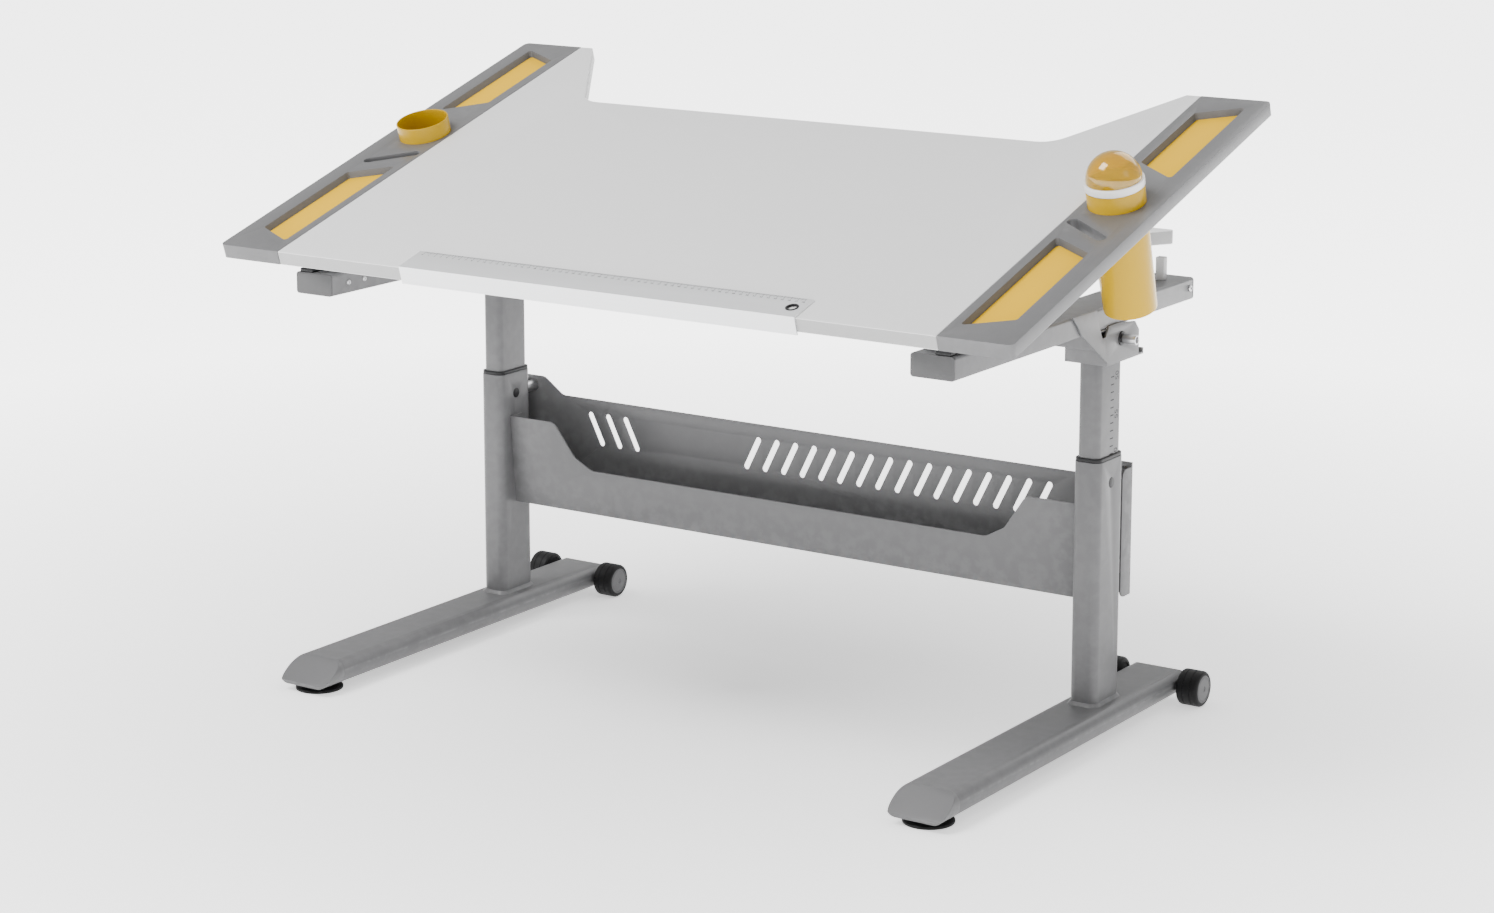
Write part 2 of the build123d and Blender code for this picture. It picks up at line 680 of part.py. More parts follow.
def cup_radius(height):
    """Outside radius of a cup at a height above the board."""
    return cup_foot_radius + (cup_mouth_radius - cup_foot_radius) * (height + cup_depth) / (cup_depth + cup_rise)


for side, sign in sides.items():
    with BuildPart() as pen_cup:
        with BuildSketch(board_plane(sign * cup_u, cup_v, -cup_depth)):
            Circle(cup_radius(-cup_depth))
        with BuildSketch(board_plane(sign * cup_u, cup_v, cup_rise)):
            Circle(cup_radius(cup_rise))
        loft()
        with BuildSketch(board_plane(sign * cup_u, cup_v, -cup_depth + 3)):
            Circle(cup_radius(-cup_depth) - cup_wall)
        with BuildSketch(board_plane(sign * cup_u, cup_v, cup_rise)):
            Circle(cup_radius(cup_rise) - cup_wall)
        loft(mode=Mode.SUBTRACT)
    save(pen_cup, f"pen_cup_{side}")

# The right cup's lid: a white ring that drops over the mouth, and a clear dome on it.
ring_top = cup_rise + 10.0
dome_radius = 35.0
ring_radius = 37.6
sleeve_radius = cup_mouth_radius - cup_wall - 0.6
with BuildPart() as lid_ring:
    with BuildSketch(board_plane(cup_u, cup_v, cup_rise + 0.3)):
        Circle(ring_radius)
        Circle(sleeve_radius - 1.6, mode=Mode.SUBTRACT)
    extrude(amount=ring_top - cup_rise - 0.3)
    with BuildSketch(board_plane(cup_u, cup_v, cup_rise - 5)):
        Circle(sleeve_radius)
        Circle(sleeve_radius - 1.6, mode=Mode.SUBTRACT)
    extrude(amount=6)
save(lid_ring, "lid_ring")

with BuildPart() as lid_dome:
    with BuildSketch(Plane(board_plane(cup_u, cup_v, ring_top).origin, x_dir=(1, 0, 0),
                           z_dir=(0, -cos(slope), -sin(slope)))) as dome_half:
        with BuildLine():
            CenterArc((0, 0), dome_radius, 0, 90)
            Line((0, dome_radius), (0, dome_radius - 2))
            CenterArc((0, 0), dome_radius - 2, 0, 90)
            Line((dome_radius - 2, 0), (dome_radius, 0))
        make_face()
    revolve(axis=Axis(board_plane(cup_u, cup_v, ring_top).origin, board_normal))
save(lid_dome, "lid_dome")

# Ruler along the front edge
ruler_middle_u = 7.5
ruler_length = 600.0
ruler_blade = 45.0
ruler_sheet = 2.0
ruler_lift = 0.3                    # felt-thin room under it
lip_front_v = -2.4
finger_u = 283.7                    # finger ring, from the middle of the blade
finger_v = -1.4
finger_radius = 8.5
ring_v = (ruler_blade + lip_front_v) / 2 + finger_v
with BuildPart() as whole_ruler:
    with BuildSketch(board_plane(ruler_middle_u, (ruler_blade + lip_front_v) / 2, ruler_lift)):
        Rectangle(ruler_length, ruler_blade - lip_front_v)
        with Locations((finger_u, finger_v)):
            Circle(finger_radius, mode=Mode.SUBTRACT)
    extrude(amount=ruler_sheet)
    with BuildSketch(board_plane(ruler_middle_u, lip_front_v / 2 - ruler_lift / 2, ruler_lift + ruler_sheet)):
        Rectangle(ruler_length, -lip_front_v - ruler_lift)
    extrude(amount=-24.3)

# The sheet is kept as five simple solids that meet face to face: the long blade, and four round the finger hole.
hole_centre = board_plane(ruler_middle_u + finger_u, ring_v).origin
end_of_blade = Plane(origin=hole_centre - Vector(14, 0, 0), x_dir=(0, 1, 0), z_dir=(1, 0, 0))
through_hole = Plane(origin=hole_centre, x_dir=(0, 1, 0), z_dir=(1, 0, 0))
along_hole = Plane(origin=hole_centre, x_dir=(1, 0, 0), z_dir=(0, cos(slope), sin(slope)))
blade = split(whole_ruler.part, bisect_by=end_of_blade, keep=Keep.BOTTOM)
blade_end = split(whole_ruler.part, bisect_by=end_of_blade, keep=Keep.TOP)
ruler_solids = list(blade.solids())
for half in (Keep.TOP, Keep.BOTTOM):
    end_half = split(blade_end, bisect_by=through_hole, keep=half)
    for quarter in (Keep.TOP, Keep.BOTTOM):
        ruler_solids += split(end_half, bisect_by=along_hole, keep=quarter).solids()
whole_ruler.part = Compound(ruler_solids)
save(whole_ruler, "drawing_ruler")

with BuildPart() as ruler_ring:
    with BuildSketch(board_plane(ruler_middle_u + finger_u, ring_v, ruler_lift)):
        Circle(finger_radius)
        Circle(finger_radius - 2.5, mode=Mode.SUBTRACT)
    extrude(amount=ruler_sheet + 0.8)
save(ruler_ring, "ruler_ring")

# Tilt struts
board_pivot = board_plane(0, strut_board_v, strut_board_h).origin
reach_y = board_pivot.Y - strut_pivot_y
reach_z = board_pivot.Z - strut_pivot_z
strut_length = hypot(reach_y, reach_z)
strut_dir = (0, reach_y / strut_length, reach_z / strut_length)


def along_strut(x, distance):
    """Plane square to a strut, at a distance from its lower pivot."""
    return Plane(
        origin=(x, strut_pivot_y + strut_dir[1] * distance, strut_pivot_z + strut_dir[2] * distance),
        x_dir=(1, 0, 0), z_dir=strut_dir,
    )


with BuildPart() as strut_mounts:
    for sign in sides.values():
        rod_along_x((sign * (strut_x - 13), sign * rail_inner), strut_pivot_y, strut_pivot_z, 4.0)
        rod_along_x((sign * (rail_inner - 8), sign * rail_inner), strut_pivot_y, strut_pivot_z, 9.0)
        rod_along_x((sign * (strut_x - 14), sign * (strut_x - 11)), strut_pivot_y, strut_pivot_z, 7.0)
save(strut_mounts, "strut_mounts")

for side, sign in sides.items():
    x = sign * strut_x
    with BuildPart() as strut_tube:
        rod_along_x((x - 10, x + 10), strut_pivot_y, strut_pivot_z, 9.0)
        with BuildSketch(along_strut(x, 0)):
            Circle(9.0)
        extrude(amount=190)
        with BuildSketch(along_strut(x, 25)):
            Circle(4.0 + running_gap)
        extrude(amount=170, mode=Mode.SUBTRACT)
        rod_along_x((x - 12, x + 12), strut_pivot_y, strut_pivot_z, 4.0 + running_gap, mode=Mode.SUBTRACT)
    save(strut_tube, f"strut_tube_{side}")

    with BuildPart() as strut_rod:
        with BuildSketch(along_strut(x, strut_length - 172)):
            Circle(4.0)
        extrude(amount=166)
        rod_along_x((x - 7, x + 7), board_pivot.Y, board_pivot.Z, 8.0)
        rod_along_x((x - 16, x + 16), board_pivot.Y, board_pivot.Z, 4.0)
    save(strut_rod, f"strut_rod_{side}")

with BuildPart() as strut_brackets:
    for sign in sides.values():
        x = sign * strut_x
        with BuildSketch(board_plane(x, strut_board_v, under_board)):
            Rectangle(32, 44)
        extrude(amount=-2.5)
        for end in (-1, 1):
            with BuildSketch(board_plane(x + end * 13, strut_board_v, under_board)):
                Rectangle(3, 24)
            extrude(amount=-24)
        rod_along_x((x - 16, x + 16), board_pivot.Y, board_pivot.Z, 6.2, mode=Mode.SUBTRACT)
save(strut_brackets, "strut_brackets")
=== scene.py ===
import json
from math import atan2, cos, pi, radians, sin

import bpy
from mathutils import Matrix, Vector


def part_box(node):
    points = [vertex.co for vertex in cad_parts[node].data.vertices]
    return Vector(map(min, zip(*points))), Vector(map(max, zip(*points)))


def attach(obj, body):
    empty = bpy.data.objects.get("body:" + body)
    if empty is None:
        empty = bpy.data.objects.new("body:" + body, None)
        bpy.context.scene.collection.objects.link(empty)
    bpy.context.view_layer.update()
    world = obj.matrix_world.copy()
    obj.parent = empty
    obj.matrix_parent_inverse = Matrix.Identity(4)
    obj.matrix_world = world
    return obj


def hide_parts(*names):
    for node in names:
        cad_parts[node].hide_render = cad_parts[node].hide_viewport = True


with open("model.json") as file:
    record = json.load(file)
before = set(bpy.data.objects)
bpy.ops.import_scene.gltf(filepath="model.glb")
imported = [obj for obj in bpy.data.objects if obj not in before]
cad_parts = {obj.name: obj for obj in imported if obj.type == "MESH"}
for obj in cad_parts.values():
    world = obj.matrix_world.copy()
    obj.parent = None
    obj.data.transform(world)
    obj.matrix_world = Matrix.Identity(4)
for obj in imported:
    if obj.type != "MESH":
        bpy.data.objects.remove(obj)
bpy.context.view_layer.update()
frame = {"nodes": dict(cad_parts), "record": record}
record = frame["record"]
bodyOf = {node: body for body, members in record["behaviour"]["bodies"].items() for node in members}
slotOf = {entry["node"]: entry["material_slot"] for entry in record["subparts"]}
print("frame loaded:", len(frame["nodes"]), "nodes")

# The board's own frame: x across, y up the slope from the front edge, z off the top face.
jointOf = {joint["name"]: joint for joint in record["behaviour"]["joints"]}
boardNormal = Vector(jointOf["ruler_lift"]["axis"])
boardSlope = atan2(-boardNormal.y, boardNormal.z)
hingePlace = {"upBoard": 0.05698, "belowTop": 0.03938}
boardMatrix = (
    Matrix.Translation(jointOf["board_tilt"]["pos_m"])
    @ Matrix.Rotation(boardSlope, 4, "X")
    @ Matrix.Translation((0, -hingePlace["upBoard"], hingePlace["belowTop"]))
)


# small helpers

def deselectAll():
    if bpy.context.object and bpy.context.object.mode != "OBJECT":
        bpy.ops.object.mode_set(mode="OBJECT")
    bpy.ops.object.select_all(action="DESELECT")


def makeActive(piece):
    deselectAll()
    piece.select_set(True)
    bpy.context.view_layer.objects.active = piece


def editMesh(piece, selectMode="FACE"):
    makeActive(piece)
    bpy.ops.object.mode_set(mode="EDIT")
    bpy.ops.mesh.select_mode(type=selectMode)
    bpy.ops.mesh.select_all(action="DESELECT")


def selectFaces(piece, test):
    # test gets a face's centre and normal
    bpy.ops.object.mode_set(mode="OBJECT")
    for face in piece.data.polygons:
        face.select = test(face.center, face.normal)
    bpy.ops.object.mode_set(mode="EDIT")


def selectEdges(piece, test):
    # test gets the two ends of an edge
    bpy.ops.object.mode_set(mode="OBJECT")
    points = piece.data.vertices
    for face in piece.data.polygons:
        face.select = False
    for point in points:
        point.select = False
    for edge in piece.data.edges:
        edge.select = test(points[edge.vertices[0]].co, points[edge.vertices[1]].co)
    bpy.ops.object.mode_set(mode="EDIT")


def objectMode():
    bpy.ops.object.mode_set(mode="OBJECT")


def applyModifier(piece, kind, name, **settings):
    makeActive(piece)
    modifier = piece.modifiers.new(name, kind)
    for key, value in settings.items():
        setattr(modifier, key, value)
    bpy.ops.object.modifier_apply(modifier=modifier.name)


def bevelEdges(piece, width, segments=2, angle=35):
    applyModifier(
        piece, "BEVEL", "edgeBevel", width=width, segments=segments, limit_method="ANGLE",
        angle_limit=radians(angle), use_clamp_overlap=True,
    )


def smoothShade(piece, angle=35):
    makeActive(piece)
    bpy.ops.object.shade_smooth_by_angle(angle=radians(angle))


def applyPlace(piece, matrix=None):
    # leaves the object at the origin with its place in its mesh
    if matrix is not None:
        piece.matrix_world = matrix
    makeActive(piece)
    bpy.ops.object.transform_apply(location=True, rotation=True, scale=True)


def joinPieces(pieces, name):
    deselectAll()
    for piece in pieces:
        piece.select_set(True)
    bpy.context.view_layer.objects.active = pieces[0]
    if len(pieces) > 1:
        bpy.ops.object.join()
    pieces[0].name = name
    return pieces[0]


def finishPiece(piece, material, node=None, body=None):
    piece.data.materials.clear()
    piece.data.materials.append(material)
    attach(piece, body or bodyOf[node])
    if node:
        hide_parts(node)
    return piece


def nodeCopy(node, name):
    # a merged copy of a CAD node, with its flat faces made whole again
    copy = bpy.data.objects.new(name, frame["nodes"][node].data.copy())
    bpy.context.scene.collection.objects.link(copy)
    editMesh(copy)
    bpy.ops.mesh.select_all(action="SELECT")
    bpy.ops.mesh.remove_doubles(threshold=0.00002)
    bpy.ops.mesh.dissolve_limited(angle_limit=radians(0.5))
    objectMode()
    return copy


def turnedShape(name, stations, segments=96):
    # a turned piece round Z: stations are (radius, height) pairs along its profile, and a radius of 0 is a pole
    poleRadius = 0.00001
    radii = [max(radius, poleRadius) for radius, height in stations]
    heights = [height for radius, height in stations]
    deselectAll()
    bpy.ops.mesh.primitive_circle_add(vertices=segments, radius=radii[0], location=(0, 0, heights[0]))
    piece = bpy.context.object
    piece.name = name
    bpy.ops.object.mode_set(mode="EDIT")
    bpy.ops.mesh.select_all(action="SELECT")
    for step in range(1, len(stations)):
        rise = heights[step] - heights[step - 1]
        grow = radii[step] / radii[step - 1]
        bpy.ops.mesh.extrude_region_move(TRANSFORM_OT_translate={"value": (0, 0, rise)})
        bpy.ops.transform.resize(value=(grow, grow, 1))
    bpy.ops.mesh.select_all(action="SELECT")
    bpy.ops.mesh.remove_doubles(threshold=0.00003)
    bpy.ops.mesh.normals_make_consistent(inside=False)
    objectMode()
    applyPlace(piece)
    return piece


def cutWith(piece, cutter):
    applyModifier(piece, "BOOLEAN", "cut", operation="DIFFERENCE", object=cutter, solver="EXACT")
    bpy.data.objects.remove(cutter)


def socketScrew(name, look):
    # a round head with a six-sided socket, its underside on z = 0
    radius, height = look["radius"], look["height"]
    head = turnedShape(name, [
        (0, 0), (radius * 0.97, 0), (radius, height * 0.12), (radius, height * 0.55),
        (radius * 0.9, height * 0.85), (radius * 0.7, height * 0.97), (radius * 0.55, height), (0, height),
    ], 48)
    deselectAll()
    depth = height * 0.6
    bpy.ops.mesh.primitive_cylinder_add(
        vertices=6, radius=radius * look["socket"], depth=depth, location=(0, 0, height - depth / 2 + 0.00005)
    )
    cutWith(head, bpy.context.object)
    smoothShade(head, 40)
    return head


# shader groups

def newGroup(name, inputs, outputs):
    group = bpy.data.node_groups.new(name, "ShaderNodeTree")
    for label, kind, value in inputs:
        socket = group.interface.new_socket(name=label, in_out="INPUT", socket_type=kind)
        socket.default_value = value
    for label, kind in outputs:
        group.interface.new_socket(name=label, in_out="OUTPUT", socket_type=kind)
    entry = group.nodes.new("NodeGroupInput")
    outlet = group.nodes.new("NodeGroupOutput")
    entry.location = (-900, 0)
    outlet.location = (700, 0)
    return group, entry, outlet


def mathNode(tree, operation, first, second, place=(0, 0), clamp=False):
    node = tree.nodes.new("ShaderNodeMath")
    node.operation = operation
    node.use_clamp = clamp
    node.location = place
    for socket, value in zip(node.inputs, (first, second)):
        if isinstance(value, (int, float)):
            socket.default_value = value
        else:
            tree.links.new(value, socket)
    return node.outputs[0]


def mixColor(tree, factor, first, second, place=(0, 0), blend="MIX"):
    node = tree.nodes.new("ShaderNodeMix")
    node.data_type = "RGBA"
    node.blend_type = blend
    node.location = place
    for socket, value in ((node.inputs[0], factor), (node.inputs[6], first), (node.inputs[7], second)):
        if isinstance(value, (int, float)):
            socket.default_value = value
        elif isinstance(value, tuple):
            socket.default_value = value
        else:
            tree.links.new(value, socket)
    return node.outputs[2]


def noiseNode(tree, vector, scale, detail=2.0, place=(0, 0)):
    node = tree.nodes.new("ShaderNodeTexNoise")
    node.location = place
    node.inputs["Detail"].default_value = detail
    if isinstance(scale, (int, float)):
        node.inputs["Scale"].default_value = scale
    else:
        tree.links.new(scale, node.inputs["Scale"])
    tree.links.new(vector, node.inputs["Vector"])
    return node.outputs["Fac"]


def rampNode(tree, factor, low, high, place=(0, 0)):
    # 0 below low, 1 above high
    node = tree.nodes.new("ShaderNodeMapRange")
    node.location = place
    node.inputs["From Min"].default_value = low
    node.inputs["From Max"].default_value = high
    tree.links.new(factor, node.inputs["Value"])
    return node.outputs["Result"]


def buildSurfaceGrain():
    # fine moulded or sprayed texture, with slow drifts of tone and gloss
    group, entry, outlet = newGroup(
        "surfaceGrain",
        [("Color", "NodeSocketColor", (0.5, 0.5, 0.5, 1)), ("Roughness", "NodeSocketFloat", 0.5),
         ("Grain Scale", "NodeSocketFloat", 900.0), ("Tone Drift", "NodeSocketFloat", 0.06),
         ("Gloss Drift", "NodeSocketFloat", 0.1)],
        [("Color", "NodeSocketColor"), ("Roughness", "NodeSocketFloat"), ("Height", "NodeSocketFloat")],
    )
    coords = group.nodes.new("ShaderNodeTexCoord").outputs["Object"]
    fine = noiseNode(group, coords, entry.outputs["Grain Scale"], 3.0, (-650, 200))
    slow = noiseNode(group, coords, 7.0, 4.0, (-650, -100))
    blotch = noiseNode(group, coords, 45.0, 5.0, (-650, -350))
    drift = mathNode(group, "MULTIPLY", mathNode(group, "SUBTRACT", slow, 0.5), entry.outputs["Tone Drift"])
    speck = mathNode(group, "MULTIPLY", mathNode(group, "SUBTRACT", fine, 0.5), entry.outputs["Tone Drift"])
    gain = mathNode(group, "ADD", mathNode(group, "ADD", drift, speck), 1.0)
    tint = group.nodes.new("ShaderNodeVectorMath")
    tint.operation = "SCALE"
    group.links.new(entry.outputs["Color"], tint.inputs[0])
    group.links.new(gain, tint.inputs["Scale"])
    offMiddle = mathNode(group, "SUBTRACT", blotch, 0.5)
    gloss = mathNode(group, "MULTIPLY", offMiddle, entry.outputs["Gloss Drift"])
    group.links.new(tint.outputs[0], outlet.inputs["Color"])
    rough = mathNode(group, "ADD", entry.outputs["Roughness"], gloss, clamp=True)
    group.links.new(rough, outlet.inputs["Roughness"])
    group.links.new(fine, outlet.inputs["Height"])
    return group


def buildEdgeWear():
    # handled edges: a broken mask along the convex corners
    group, entry, outlet = newGroup(
        "edgeWear",
        [("Amount", "NodeSocketFloat", 0.4), ("Break Scale", "NodeSocketFloat", 60.0)],
        [("Mask", "NodeSocketFloat")],
    )
    coords = group.nodes.new("ShaderNodeTexCoord").outputs["Object"]
    pointiness = group.nodes.new("ShaderNodeNewGeometry").outputs["Pointiness"]
    edges = rampNode(group, pointiness, 0.52, 0.60, (-400, 150))
    patchNoise = noiseNode(group, coords, entry.outputs["Break Scale"], 6.0, (-650, -100))
    broken = rampNode(group, patchNoise, 0.42, 0.62)
    worn = mathNode(group, "MULTIPLY", edges, broken)
    mask = mathNode(group, "MULTIPLY", worn, entry.outputs["Amount"], clamp=True)
    group.links.new(mask, outlet.inputs["Mask"])
    return group


def buildDustFilm():
    # a thin film on faces that look up
    group, entry, outlet = newGroup(
        "dustFilm",
        [("Amount", "NodeSocketFloat", 0.15), ("Patch Scale", "NodeSocketFloat", 22.0)],
        [("Mask", "NodeSocketFloat")],
    )
    coords = group.nodes.new("ShaderNodeTexCoord").outputs["Object"]
    split = group.nodes.new("ShaderNodeSeparateXYZ")
    group.links.new(group.nodes.new("ShaderNodeNewGeometry").outputs["Normal"], split.inputs[0])
    upward = rampNode(group, split.outputs["Z"], 0.2, 1.0, (-400, 150))
    patchNoise = noiseNode(group, coords, entry.outputs["Patch Scale"], 8.0, (-650, -100))
    patches = rampNode(group, patchNoise, 0.35, 0.75)
    settled = mathNode(group, "MULTIPLY", upward, patches)
    mask = mathNode(group, "MULTIPLY", settled, entry.outputs["Amount"], clamp=True)
    group.links.new(mask, outlet.inputs["Mask"])
    return group


def buildBrushedLines():
    # long fine scratches; Stretch squeezes the pattern across them
    group, entry, outlet = newGroup(
        "brushedLines",
        [("Stretch", "NodeSocketVector", (4.0, 1500.0, 1500.0)), ("Roughness", "NodeSocketFloat", 0.32),
         ("Contrast", "NodeSocketFloat", 0.12)],
        [("Tone", "NodeSocketFloat"), ("Roughness", "NodeSocketFloat"), ("Height", "NodeSocketFloat")],
    )
    coords = group.nodes.new("ShaderNodeTexCoord").outputs["Object"]
    squeeze = group.nodes.new("ShaderNodeVectorMath")
    squeeze.operation = "MULTIPLY"
    group.links.new(coords, squeeze.inputs[0])
    group.links.new(entry.outputs["Stretch"], squeeze.inputs[1])
    lines = noiseNode(group, squeeze.outputs[0], 1.0, 4.0, (-400, 100))
    swing = mathNode(group, "MULTIPLY", mathNode(group, "SUBTRACT", lines, 0.5), entry.outputs["Contrast"])
    group.links.new(mathNode(group, "ADD", swing, 1.0), outlet.inputs["Tone"])
    rough = mathNode(group, "ADD", entry.outputs["Roughness"], swing, clamp=True)
    group.links.new(rough, outlet.inputs["Roughness"])
    group.links.new(lines, outlet.inputs["Height"])
    return group


surfaceGrain = buildSurfaceGrain()
edgeWear = buildEdgeWear()
dustFilm = buildDustFilm()
brushedLines = buildBrushedLines()


finish = {
    "coatRoughness": 0.1, "wearBreak": 70.0, "bumpDepth": 0.0002, "dustPatch": 20.0, "dustDulling": 0.5,
    "dustColor": (0.62, 0.61, 0.59, 1), "metalDust": 0.05, "metalDustPatch": 30.0,
    "metalDustColor": (0.6, 0.59, 0.57, 1), "metalBump": 0.08, "metalBumpDepth": 0.0001,
}


def groupNode(tree, group, values, place=(0, 0)):
    node = tree.nodes.new("ShaderNodeGroup")
    node.node_tree = group
    node.location = place
    for label, value in values.items():
        node.inputs[label].default_value = value
    return node


def coatedMaterial(name, look):
    # painted, moulded and laminated finishes
    material = bpy.data.materials.new(name)
    material.use_nodes = True
    tree = material.node_tree
    shader = tree.nodes["Principled BSDF"]
    grain = groupNode(tree, surfaceGrain, {
        "Color": (*look["color"], 1), "Roughness": look["roughness"], "Grain Scale": look["grainScale"],
        "Tone Drift": look.get("toneDrift", 0.05), "Gloss Drift": look.get("glossDrift", 0.12),
    }, (-900, 200))
    wear = groupNode(tree, edgeWear, {
        "Amount": look.get("wear", 0.2), "Break Scale": finish["wearBreak"],
    }, (-900, -100))
    dust = groupNode(tree, dustFilm, {
        "Amount": look.get("dust", 0.06), "Patch Scale": finish["dustPatch"],
    }, (-900, -300))
    worn = mixColor(tree, wear.outputs["Mask"], grain.outputs["Color"], (*look.get("wornColor", look["color"]), 1))
    dusty = mixColor(tree, dust.outputs["Mask"], worn, finish["dustColor"])
    dulling = mathNode(tree, "MULTIPLY", dust.outputs["Mask"], finish["dustDulling"])
    rough = mathNode(tree, "ADD", grain.outputs["Roughness"], dulling, clamp=True)
    bump = tree.nodes.new("ShaderNodeBump")
    bump.inputs["Strength"].default_value = look.get("bump", 0.15)
    bump.inputs["Distance"].default_value = finish["bumpDepth"]
    tree.links.new(grain.outputs["Height"], bump.inputs["Height"])
    tree.links.new(bump.outputs["Normal"], shader.inputs["Normal"])
    tree.links.new(dusty, shader.inputs["Base Color"])
    tree.links.new(rough, shader.inputs["Roughness"])
    shader.inputs["Coat Weight"].default_value = look.get("coat", 0.0)
    shader.inputs["Coat Roughness"].default_value = finish["coatRoughness"]
    shader.inputs["Specular IOR Level"].default_value = look.get("specular", 0.5)
    shader.inputs["Transmission Weight"].default_value = look.get("transmission", 0.0)
    shader.inputs["IOR"].default_value = look.get("ior", 1.5)
    return material


def metalMaterial(name, look):
    material = bpy.data.materials.new(name)
    material.use_nodes = True
    tree = material.node_tree
    shader = tree.nodes["Principled BSDF"]
    lines = groupNode(tree, brushedLines, {
        "Stretch": look["stretch"], "Roughness": look["roughness"], "Contrast": look["contrast"],
    }, (-900, 200))
    tone = tree.nodes.new("ShaderNodeVectorMath")
    tone.operation = "SCALE"
    tone.inputs[0].default_value = look["color"]
    tree.links.new(lines.outputs["Tone"], tone.inputs["Scale"])
    dust = groupNode(tree, dustFilm, {
        "Amount": finish["metalDust"], "Patch Scale": finish["metalDustPatch"],
    }, (-900, -200))
    dusty = mixColor(tree, dust.outputs["Mask"], tone.outputs[0], finish["metalDustColor"])
    bump = tree.nodes.new("ShaderNodeBump")
    bump.inputs["Strength"].default_value = finish["metalBump"]
    bump.inputs["Distance"].default_value = finish["metalBumpDepth"]
    tree.links.new(lines.outputs["Height"], bump.inputs["Height"])
    tree.links.new(bump.outputs["Normal"], shader.inputs["Normal"])
    tree.links.new(dusty, shader.inputs["Base Color"])
    tree.links.new(lines.outputs["Roughness"], shader.inputs["Roughness"])
    shader.inputs["Metallic"].default_value = look.get("metallic", 1.0)
    return material


looks = {
    "frame_paint": {"color": (0.128, 0.128, 0.131), "roughness": 0.38, "grainScale": 1400.0, "bump": 0.18,
                    "toneDrift": 0.05, "wornColor": (0.30, 0.30, 0.305), "wear": 0.25, "specular": 0.35,
                    "dust": 0.01},
    "strip_plastic": {"color": (0.130, 0.130, 0.133), "roughness": 0.40, "grainScale": 1100.0, "bump": 0.22,
                      "wornColor": (0.27, 0.27, 0.275), "wear": 0.2, "dust": 0.02},
    "board_laminate": {"color": (0.80, 0.80, 0.80), "roughness": 0.5, "grainScale": 700.0, "bump": 0.10,
                       "toneDrift": 0.02, "wear": 0.1, "wornColor": (0.70, 0.69, 0.67), "dust": 0.03},
    "shelf_laminate": {"color": (0.80, 0.80, 0.80), "roughness": 0.5, "grainScale": 700.0, "bump": 0.10,
                       "toneDrift": 0.02, "wear": 0.1, "wornColor": (0.70, 0.69, 0.67), "dust": 0.05},
    "mat_yellow": {"color": (0.86, 0.50, 0.0), "roughness": 0.62, "grainScale": 500.0, "bump": 0.3,
                   "toneDrift": 0.04, "dust": 0.0, "wear": 0.0, "specular": 0.15},
    "cup_yellow": {"color": (0.50, 0.30, 0.0), "roughness": 0.24, "grainScale": 300.0, "bump": 0.03,
                   "toneDrift": 0.02, "coat": 0.06, "dust": 0.0, "wear": 0.0, "glossDrift": 0.05, "specular": 0.2},
    "dome_amber": {"color": (0.86, 0.55, 0.0), "roughness": 0.07, "grainScale": 200.0, "bump": 0.02,
                   "toneDrift": 0.02, "transmission": 0.75, "coat": 0.5, "ior": 1.45, "dust": 0.0, "wear": 0.0,
                   "glossDrift": 0.04},
    "ring_white": {"color": (0.82, 0.82, 0.81), "roughness": 0.25, "grainScale": 400.0, "bump": 0.04,
                   "toneDrift": 0.02, "coat": 0.3, "dust": 0.02},
    "black_plastic": {"color": (0.010, 0.010, 0.011), "roughness": 0.42, "grainScale": 1200.0, "bump": 0.2,
                      "wornColor": (0.03, 0.03, 0.03), "dust": 0.01, "specular": 0.25},
    "black_rubber": {"color": (0.007, 0.007, 0.0075), "roughness": 0.5, "grainScale": 900.0, "bump": 0.3,
                     "wornColor": (0.03, 0.03, 0.03), "wear": 0.4, "dust": 0.015, "specular": 0.2},
    "hub_grey": {"color": (0.075, 0.075, 0.078), "roughness": 0.4, "grainScale": 1000.0, "bump": 0.15},
    "post_grey": {"color": (0.40, 0.40, 0.40), "roughness": 0.4, "grainScale": 1000.0, "bump": 0.15},
}
metals = {
    "ruler_metal": {"color": (0.90, 0.91, 0.92), "roughness": 0.40, "contrast": 0.14, "metallic": 0.6,
                    "stretch": (3.0, 1800.0, 1800.0)},
    "steel": {"color": (0.55, 0.55, 0.56), "roughness": 0.30, "contrast": 0.14, "stretch": (900.0, 900.0, 60.0)},
    "nut_brass": {"color": (0.72, 0.52, 0.22), "roughness": 0.32, "contrast": 0.14,
                  "stretch": (700.0, 700.0, 80.0)},
}
materials = {name: coatedMaterial(name, look) for name, look in looks.items()}
materials.update({name: metalMaterial(name, look) for name, look in metals.items()})
inkMaterial = coatedMaterial("printedInk", {
    "color": (0.012, 0.012, 0.013), "roughness": 0.5, "grainScale": 1500.0, "bump": 0.02, "dust": 0.0,
    "specular": 0.2,
})
bandMaterial = coatedMaterial("edgeBand", {
    "color": (0.40, 0.40, 0.40), "roughness": 0.42, "grainScale": 900.0, "bump": 0.06, "toneDrift": 0.02,
    "dust": 0.0, "wornColor": (0.36, 0.355, 0.35), "wear": 0.3,
})
# a darker copy of the frame paint, put on the rail end caps
capMaterial = coatedMaterial("railEndCapDark", {
    "color": (0.060, 0.060, 0.062), "roughness": 0.46, "grainScale": 1000.0, "bump": 0.2, "dust": 0.01,
    "wornColor": (0.16, 0.16, 0.16),
})
print("materials ready:", len(materials) + 1)


# pen cups, the lid ring and its dome

cupLook = {
    "across": 0.5415, "upBoard": 0.376, "bottom": -0.145, "rim": 0.022, "footRadius": 0.0335,
    "mouthRadius": 0.0368, "wall": 0.0020, "floorThickness": 0.003, "lipRound": 0.0009,
}


